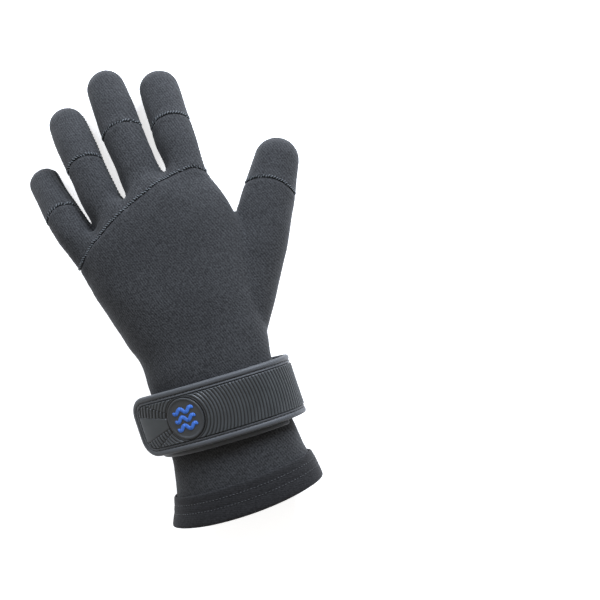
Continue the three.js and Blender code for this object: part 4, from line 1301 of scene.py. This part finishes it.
# %% Both lengths as places along, across and out
class Strap:
    def __init__(self, toward_way, rest, drift):
        turn = np.radians(np.linspace(0, 180, 25))[:, None]
        bar = ring_middle + ring_along * toward_way * RING_SPAN / 2
        round_bar = (bar - ring_out * turn_radius * np.cos(turn)
                     - ring_along * toward_way * turn_radius * np.sin(turn))
        lead_way = bar_angle + lead_angle * np.linspace(2, 1, 5)
        lead = beside_wrist(RING_ANGLE + toward_way * lead_way, inner_offset)
        self.line = np.vstack([lead, round_bar, rest])
        steps = np.linalg.norm(np.diff(self.line, axis=0), axis=1)
        self.lengths = np.concatenate([[0], np.cumsum(steps)])
        way = unit(np.gradient(self.line, axis=0))
        self.outs = np.stack([way[:, 1], -way[:, 0]], axis=1) * toward_way
        self.bend = self.lengths[len(lead) + len(round_bar) - 1]
        self.total = self.lengths[-1]
        self.drift = drift

    def at(self, along, across, out):
        """Points on the strap."""
        along, across, out = np.broadcast_arrays(along, across, out)
        past = np.maximum(along - self.total, 0)
        x, z = (np.interp(along, self.lengths, self.line[:, k]) for k in (0, 1))
        nx, nz = (np.interp(along, self.lengths, self.outs[:, k]) for k in (0, 1))
        size = np.hypot(nx, nz)
        nx, nz = nx / size, nz / size
        end = unit(self.line[-1] - self.line[-2])
        x, z = x + nx * out + end[0] * past, z + nz * out + end[1] * past
        drifted = self.drift * smoothstep(along, 0.2 * self.total, 0.7 * self.total)
        return np.stack([x, STRAP_CENTRE + across - STRAP_SLANT * x - drifted, z], axis=-1)


def tail_points():
    begin = beside_wrist(TAIL_ANGLE, upper_offset)
    way = unit(begin - beside_wrist(TAIL_ANGLE - 2, upper_offset))
    side = np.array([-way[1], way[0]])
    turned = (np.linspace(0, TAIL_LENGTH, 24)[1:] / TAIL_RADIUS)[:, None]
    return begin + way * TAIL_RADIUS * np.sin(turned) + side * TAIL_RADIUS * (1 - np.cos(turned))


leave = RING_ANGLE - LEAVE_ANGLE
lower_run = along_wrist(leave, LOWER_END_ANGLE, lifted_offset - 1.5, lower_offset, 42)
lower = Strap(-1, lower_run, LOWER_DRIFT)
leave = RING_ANGLE + LEAVE_ANGLE - 360
upper_run = along_wrist(leave, TAIL_ANGLE, lifted_offset - 1, upper_offset, 110)
upper = Strap(1, np.vstack([upper_run, tail_points()]), 0.0)
print("strap lengths, mm", round(upper.total, 1), round(lower.total, 1))

# %% [markdown]
# The strap's cloth, its pad and its pile are plates, and a folded tape binds the strap's raw edge.
# Boxes bent by modifiers would do for the plates, but not for the tape, which turns two corners. Both
# are laid in the strap's own directions: a plate with a top of any relief, and a profile that is
# carried round the strap's edge.

# %% Plates
HALF = STRAP_WIDTH / 2


def rounded(end, corner, inset):
    """Half the width of a strip along its length, with a rounded end."""
    def half_at(along):
        left = np.clip(end - inset - along, 0, corner - inset)
        reach = corner - inset
        return HALF - inset - (reach - np.sqrt(np.maximum(reach ** 2 - (reach - left) ** 2, 0)))
    return half_at


def square(inset):
    """Half the width of a strip with a square end."""
    return lambda along: np.full(len(along), HALF - inset)


def pad_grid(alongs, half_at, columns):
    """Places along and across for a strip's points."""
    share = np.sin(np.linspace(-0.5, 0.5, columns) * np.pi) * 0.12 + np.linspace(-1, 1, columns) * 0.88
    across = half_at(alongs)[:, None] * share[None, :]
    return np.broadcast_to(alongs[:, None], across.shape), across


def plate(strap, alongs, half_at, low, high, columns, relief=None, edge=0.35):
    """A closed plate on the strap. Its top may carry a relief, and its edges are rounded off."""
    alongs = np.asarray(alongs, float)
    along, across = pad_grid(alongs, half_at, columns)
    half = half_at(alongs)[:, None]
    reach = np.minimum(half - np.abs(across), np.minimum(along - alongs[0], alongs[-1] - along))
    soft = 1 - np.sqrt(np.clip(1 - (1 - np.clip(reach / edge, 0, 1)) ** 2, 0, 1))
    thick = high - low
    top = high - 0.55 * thick * soft
    if relief is not None:
        top = top + relief(along, across) * np.clip(reach / (2 * edge), 0, 1)
    upper_side = strap.at(along, across, top)
    under_side = strap.at(along, across, low)
    rows, columns = across.shape
    count = rows * columns
    faces = quads(rows, columns).tolist() + (quads(rows, columns)[:, ::-1] + count).tolist()
    rim = [r * columns for r in range(rows)] + [(rows - 1) * columns + c for c in range(1, columns)]
    rim += [r * columns + columns - 1 for r in range(rows - 2, -1, -1)]
    rim += list(range(columns - 2, 0, -1))
    for a, b in zip(rim, rim[1:] + rim[:1]):
        faces.append([a, b, b + count, a + count])
    return np.vstack([upper_side.reshape(-1, 3), under_side.reshape(-1, 3)]), faces


print("half the strap's width, mm", square(0.0)(np.zeros(1)))


# %% Bindings
def outline(strap, begin, corner, inset, step=1.2):
    """The strap's edge in along and across, from one side of the ring round the end to the other."""
    corner = max(corner, inset + 0.05)
    end, radius = strap.total, corner - inset
    turn = np.linspace(0, np.pi / 2, 14)
    straight = np.linspace(begin, strap.total - corner, int((strap.total - begin) / step))
    flat = HALF - corner
    side = np.stack([straight, np.full(len(straight), HALF - inset)], axis=1)
    arc = np.stack([end - corner + radius * np.sin(turn), flat + radius * np.cos(turn)], axis=1)
    cross = np.linspace(flat, -flat, 22)[1:-1]
    cross = np.stack([np.full(len(cross), end - corner + radius), cross], axis=1)
    half = np.vstack([side, arc[1:]])
    return np.vstack([half, cross, half[::-1] * np.array([1, -1])])


# The tape's section: how far in from the edge, and how far out from the middle of the cloth
BINDING = [
    (4.85, 1.02), (4.82, 1.34), (4.62, 1.5), (4.1, 1.56), (3.82, 1.44), (3.66, 1.06), (3.14, 1.08),
    (2.96, 1.56), (2.45, 1.78), (1.7, 1.86), (1.1, 1.84), (0.5, 1.6), (0.12, 1.1), (-0.06, 0.4),
    (-0.06, -0.4), (0.12, -0.95), (0.5, -1.3), (1.1, -1.42), (2.4, -1.44), (3.9, -1.4),
    (3.95, -1.02), (1.15, -1.0), (1.15, 1.0),
]
STITCH_INSET = 3.4


def binding(strap, corner):
    """The folded tape round the strap's edge."""
    rows = []
    for inset, out in BINDING:
        flat = outline(strap, strap.bend, corner, inset)
        rows.append(strap.at(flat[:, 0], flat[:, 1], out))
    return closed_loft(np.stack(rows, axis=1))


def binding_stitches(strap, corner, pitch=2.6):
    """Places, ways and ups of the stitch row in the binding's groove."""
    flat = outline(strap, strap.bend + 1, corner, STITCH_INSET, 0.7)
    line = strap.at(flat[:, 0], flat[:, 1], 1.2)
    out = unit(strap.at(flat[:, 0], flat[:, 1], 2.2) - line)
    return laid(line, out, pitch, 0)


print("the binding's section has", len(BINDING), "points")

# %% Cloth and bindings of both lengths
CLOTH_INSET = 1.2
SQUARE_CORNER = 1.6
CORNER_STEPS = np.array([0.86, 0.7, 0.52, 0.36, 0.22, 0.11, 0.04, 0.01])


def cloth_of(name, strap, corner, replaced):
    end = strap.total - CLOTH_INSET
    alongs = np.linspace(0, end, int(strap.total / 1.4))
    alongs = np.unique(np.concatenate([alongs, end - (corner - CLOTH_INSET) * CORNER_STEPS]))
    half_at = rounded(strap.total, corner, CLOTH_INSET)
    points, faces = plate(strap, alongs, half_at, -STRAP_CLOTH / 2, STRAP_CLOTH / 2, 25)
    mark(made(name, points, faces, STRAP_JERSEY, "strap_cloth", replaced), "seam")


cloth_of("strap_over_back", upper, TAIL_CORNER, ["upper_strap"])
cloth_of("strap_under_palm", lower, SQUARE_CORNER, ["lower_strap"])
made("upper_binding", *binding(upper, TAIL_CORNER), TAPE, "binding_tape", ["upper_strap_tape"])
made("lower_binding", *binding(lower, SQUARE_CORNER), TAPE, "binding_tape", ["lower_strap_tape"])
rows = [binding_stitches(upper, TAIL_CORNER), binding_stitches(lower, SQUARE_CORNER)]
bars("binding_stitches", rows, (1.9, 0.66, 0.34), DARK_THREAD, "binding_tape")

# %% [markdown]
# Between the bindings of the lower length lies a strip of loops, brushed up so that hooks can grip it.
# Hair strands would show each loop, but they are no closed body. A plate with two fine layers of
# unevenness gives the same broken, matt surface.

# %% The pile on the lower strap
face_inset = TAPE_WIDTH + CLEARANCE + 0.9
face_in = STRAP_CLOTH / 2 + CLEARANCE
alongs = np.arange(lower.bend + 4, lower.total - face_inset, 0.8)


def tufts(along, across):
    flat = np.stack([along.ravel(), across.ravel(), 0 * along.ravel()], axis=1)
    return (0.07 * rolling(flat, 3.2, 21) + 0.1 * rolling(flat, 1.7, 22)).reshape(along.shape)


strip = plate(lower, alongs, square(face_inset), face_in, face_in + PILE_CLOTH, 42, tufts)
made("loop_strip", *strip, PILE, "pile", ["pile_strip"])

# %% [markdown]
# A rubber pad is moulded onto the upper length. Its ribs run round the badge in even arcs, and towards
# the strap's free end a plain wedge is left, with short bars in two narrow sectors beside it. Each rib
# could be a piece of its own. They are one relief of the distance from the badge's edge instead,
# because it keeps them even and lets them end cleanly at the wedge.

# %% The relief of the ribs
BADGE_LENGTH, BADGE_WIDTH, BADGE_HEIGHT = 22.0, 25.0, 1.2
RIB_PITCH, BLOCK_PITCH = 1.95, 2.3
# The sectors of short bars lie between these angles, and the plain wedge between the middle two
SECTORS = (-30, -17, 13, 28)
badge_at = upper.total - 38.0
pad_start = upper.bend + 0.2 * (upper.total - upper.bend)
pad_top = face_in + PAD_CLOTH


def from_badge(along, across, grown=0.0):
    """Distance from the badge's oval edge."""
    a, b = BADGE_LENGTH / 2, BADGE_WIDTH / 2
    x, y = along - badge_at, across
    size = np.sqrt((x / a) ** 2 + (y / b) ** 2) + 1e-6
    slope = np.hypot(x / a ** 2, y / b ** 2) / size + 1e-6
    return (size - 1) / slope


def ribs(along, across):
    away = from_badge(along, across)
    angle = np.degrees(np.arctan2(across, along - badge_at))
    wave = 0.5 + 0.5 * np.cos(2 * np.pi * (away - 0.55) / RIB_PITCH)
    arcs = 0.62 * wave ** 0.42 - 0.48
    block = 0.5 + 0.5 * np.cos(2 * np.pi * away / BLOCK_PITCH)
    blocks = 0.56 * np.clip(block * 2.2 - 0.35, 0, 1) - 0.4
    low, plain_low, plain_high, high = SECTORS
    near = smoothstep(along, badge_at, badge_at + 3)
    sector = near * (((angle > plain_high) & (angle < high)) | ((angle < plain_low) & (angle > low)))
    plain = near * ((angle <= plain_high) & (angle >= plain_low))
    height = np.where(plain > 0.5, 0.1, np.where(sector > 0.5, blocks, arcs))
    turn = np.radians(np.min([np.abs(angle - edge) for edge in SECTORS], axis=0))
    lines = turn * np.hypot(along - badge_at, across)
    fan = near * (angle > low - 2) * (angle < high + 2)
    height = height - 0.34 * fan * np.exp(-(lines / 0.3) ** 2)
    rim = np.exp(-((away - 0.35) / 0.5) ** 2)
    return np.maximum(height - 0.5 * rim, -0.5)


print("a rib's height, mm", np.ptp(ribs(np.linspace(badge_at - 30, badge_at - 20, 200), 0.0)).round(2))

# %% The ribbed pad
PAD_COLUMNS = 96
PAD_GAP = 0.9
pad_end = upper.total - face_inset - PAD_GAP
alongs = np.arange(pad_start, pad_end - 8, 0.3)
alongs = np.unique(np.concatenate([alongs, np.linspace(alongs[-1], pad_end - 0.02, 40)]))
half_at = rounded(upper.total - PAD_GAP, TAIL_CORNER, face_inset)
points, faces = plate(upper, alongs, half_at, face_in, pad_top, PAD_COLUMNS, ribs, edge=0.3)
pad = made("strap_pad", points, faces, RIBBED_RUBBER, "moulded_rubber", ["ribbed_pad"])
# The groove mark is painted shade, strongest down between the ribs
depth = smoothstep(-ribs(*pad_grid(alongs, half_at, PAD_COLUMNS)), 0.0, 0.3).ravel()
mark(pad, "groove", np.concatenate([depth, 0 * depth]))

# %% [markdown]
# The badge is an oval button of the same rubber with a raised rim and a sunken face, and three blue
# waves are moulded onto it. Bevels and booleans could cut the rim. It is turned from a profile in one
# step, as the mould was, and then laid along the strap. The waves are ridges with tapered ends.

# %% The badge
foot, top = face_in + 0.25, face_in + BADGE_HEIGHT
rise = [(1.0, -0.1), (0.992, 0.12), (0.97, 0.24), (0.935, 0.26), (0.9, 0.2), (0.875, 0.0),
        (0.85, -0.1), (0.7, -0.1), (0.4, -0.08), (0.0, -0.08)]
badge_profile = [(0.0, foot), (1.0, foot)] + [(radius, top + more) for radius, more in rise]
disc, faces = turned(badge_profile, 96)
points = upper.at(badge_at + disc[:, 0] * BADGE_LENGTH / 2, disc[:, 1] * BADGE_WIDTH / 2, disc[:, 2])
made("strap_badge", points, faces, BADGE_RUBBER, "moulded_rubber", ["badge"])

# %% The three waves
WAVE_LENGTH, WAVE_WIDTH, WAVE_SWING, WAVE_PITCH = 13.0, 2.2, 1.3, 5.0
WAVE_SECTION = [(-1.0, 0.0), (-0.97, 0.26), (-0.8, 0.4), (0.8, 0.4), (0.97, 0.26), (1.0, 0.0)]
wave_foot = top - 0.04
t = np.sin(np.linspace(-0.5, 0.5, 90) * np.pi)
for number in range(3):
    swing = (number - 1) * WAVE_PITCH + WAVE_SWING * np.sin(t * 2 * np.pi)
    line = np.stack([badge_at + t * (WAVE_LENGTH / 2 - 0.2), swing], axis=1)
    ahead = unit(np.gradient(line, axis=0))
    aside = np.stack([-ahead[:, 1], ahead[:, 0]], axis=1)
    from_end = np.minimum(line[:, 0] - line[0, 0], line[-1, 0] - line[:, 0])
    round_off = 1 - np.clip(from_end / (WAVE_WIDTH / 2), 0.02, 1)
    half_width = WAVE_WIDTH / 2 * np.sqrt(1 - round_off ** 2)
    rows = [upper.at(*(line + aside * (share * half_width)[:, None]).T, wave_foot + more)
            for share, more in WAVE_SECTION]
    name = "wave_%d" % (number + 1)
    wave = closed_loft(np.stack(rows, axis=1))
    made(name, *wave, BLUE_RUBBER, "blue_rubber", ["badge_" + name])

# %% [markdown]
# The ring is moulded from one round rod of plastic: four straight bars and four tight bends. A bevelled
# curve would pinch in the bends. A circle is drawn out along each bar and spun round each corner.

# %% The ring
reach = np.array([STRAP_WIDTH / 2 + RING_PLAY + RING_BAR / 2, RING_SPAN / 2])
corner = reach - RING_CORNER
form = bmesh.new()
loop = bmesh.ops.create_circle(form, segments=20, radius=RING_BAR / 2)["verts"]
bmesh.ops.rotate(form, verts=loop, cent=(0, 0, 0), matrix=Matrix.Rotation(math.pi / 2, 3, "X"))
bmesh.ops.translate(form, verts=loop, vec=(reach[0], -corner[1], 0))
rim = list(form.edges)
for step, turn_x, turn_y in [((0, 2 * corner[1], 0), 1, 1), ((-2 * corner[0], 0, 0), -1, 1),
                             ((0, -2 * corner[1], 0), -1, -1), ((2 * corner[0], 0, 0), 1, -1)]:
    straight = bmesh.ops.extrude_edge_only(form, edges=rim)["geom"]
    end_points = [part for part in straight if isinstance(part, bmesh.types.BMVert)]
    rim = [part for part in straight if isinstance(part, bmesh.types.BMEdge)]
    bmesh.ops.translate(form, verts=end_points, vec=step)
    arc = bmesh.ops.spin(form, geom=end_points + rim, cent=(turn_x * corner[0], turn_y * corner[1], 0),
                         axis=(0, 0, 1), angle=math.pi / 2, steps=9)
    rim = [part for part in arc["geom_last"] if isinstance(part, bmesh.types.BMEdge)]
ring, faces = read(form)
spot = ring_middle + ring[:, 1:2] * ring_along + ring[:, 2:] * ring_out
side = STRAP_CENTRE + ring[:, 0] - STRAP_SLANT * spot[:, 0]
points = np.stack([spot[:, 0], side, spot[:, 1]], axis=1)
made("strap_ring", points, faces, RING_PLASTIC, "ring_plastic", ["ring"])

# %% [markdown]
# ## Floor, light and camera
#
# The glove lies on white paper, seen from straight above, with soft light from all sides and hardly a
# shadow. A bright world alone would leave the cloth flat. Two lamps ahead of the fingertips and beside
# the thumb round them off, a wide one fills in, and the paper glows a little so that it stays white.

# %% The paper
floor_mesh = bpy.data.meshes.new("floor")
form = bmesh.new()
bmesh.ops.create_grid(form, x_segments=1, y_segments=1, size=1.5)
bmesh.ops.translate(form, verts=form.verts, vec=(0, 0, -0.0004))
form.to_mesh(floor_mesh)
form.free()
# Uncoated paper, pressed smooth: matt and even, with a faint fibre that keeps it from looking empty
paper, tree, shader, place = start("pressed_white_paper", 0.9, Specular_IOR_Level=0.1,
                                   Emission_Color=srgb("ffffff"), Emission_Strength=0.7)
fibre = add(tree, "TexNoise", grains(place, 1.5, 3))
whites = {SHARE: fibre, FIRST: srgb("f4f4f5"), SECOND: srgb("fbfbfb")}
dressed(tree, shader, add(tree, "Mix", whites, **COLOURS), fibre, 0.02, 0.3)
floor_mesh.materials.append(paper)
floor = bpy.data.objects.new("floor", floor_mesh)
bpy.context.scene.collection.objects.link(floor)
print("floor", round(floor.dimensions.x, 2), "m wide")


# %% Light
def area_light(name, place, target, size, power, colour):
    light = bpy.data.lights.new(name, "AREA")
    light.shape = "DISK"
    light.size = size
    light.energy = power
    light.color = srgb(colour)[:3]
    lamp = bpy.data.objects.new(name, light)
    lamp.location = place
    lamp.rotation_euler = (Vector(target) - Vector(place)).to_track_quat("-Z", "Y").to_euler()
    bpy.context.scene.collection.objects.link(lamp)


area_light("key_light", (-0.28, 0.62, 0.48), (-0.03, 0.06, 0.02), 0.45, 5.0, "dfe9fb")
area_light("thumb_light", (0.42, 0.50, 0.42), (0.05, 0.03, 0.02), 0.4, 13, "e4ecfb")
area_light("fill_light", (-0.75, -0.20, 0.8), (0, 0, 0.02), 0.9, 1.0, "fff6ec")
world = bpy.data.worlds.new("white_room")
world.use_nodes = True
world.node_tree.nodes["Background"].inputs["Color"].default_value = srgb("fffdfa")
world.node_tree.nodes["Background"].inputs["Strength"].default_value = 0.37
bpy.context.scene.world = world
bpy.context.scene.view_settings.view_transform = "Standard"
print(len(bpy.data.lights), "lamps")

# %% Camera
camera_data = bpy.data.cameras.new("camera")
camera_data.lens = 64.84
camera_data.sensor_width = 36
camera = bpy.data.objects.new("camera", camera_data)
camera.location = (0.0561, -0.0334, 0.700)
camera.rotation_euler = (0, 0, math.radians(-18.5))
bpy.context.scene.collection.objects.link(camera)
bpy.context.scene.camera = camera
print("camera height, m", round(camera.location.z, 3))
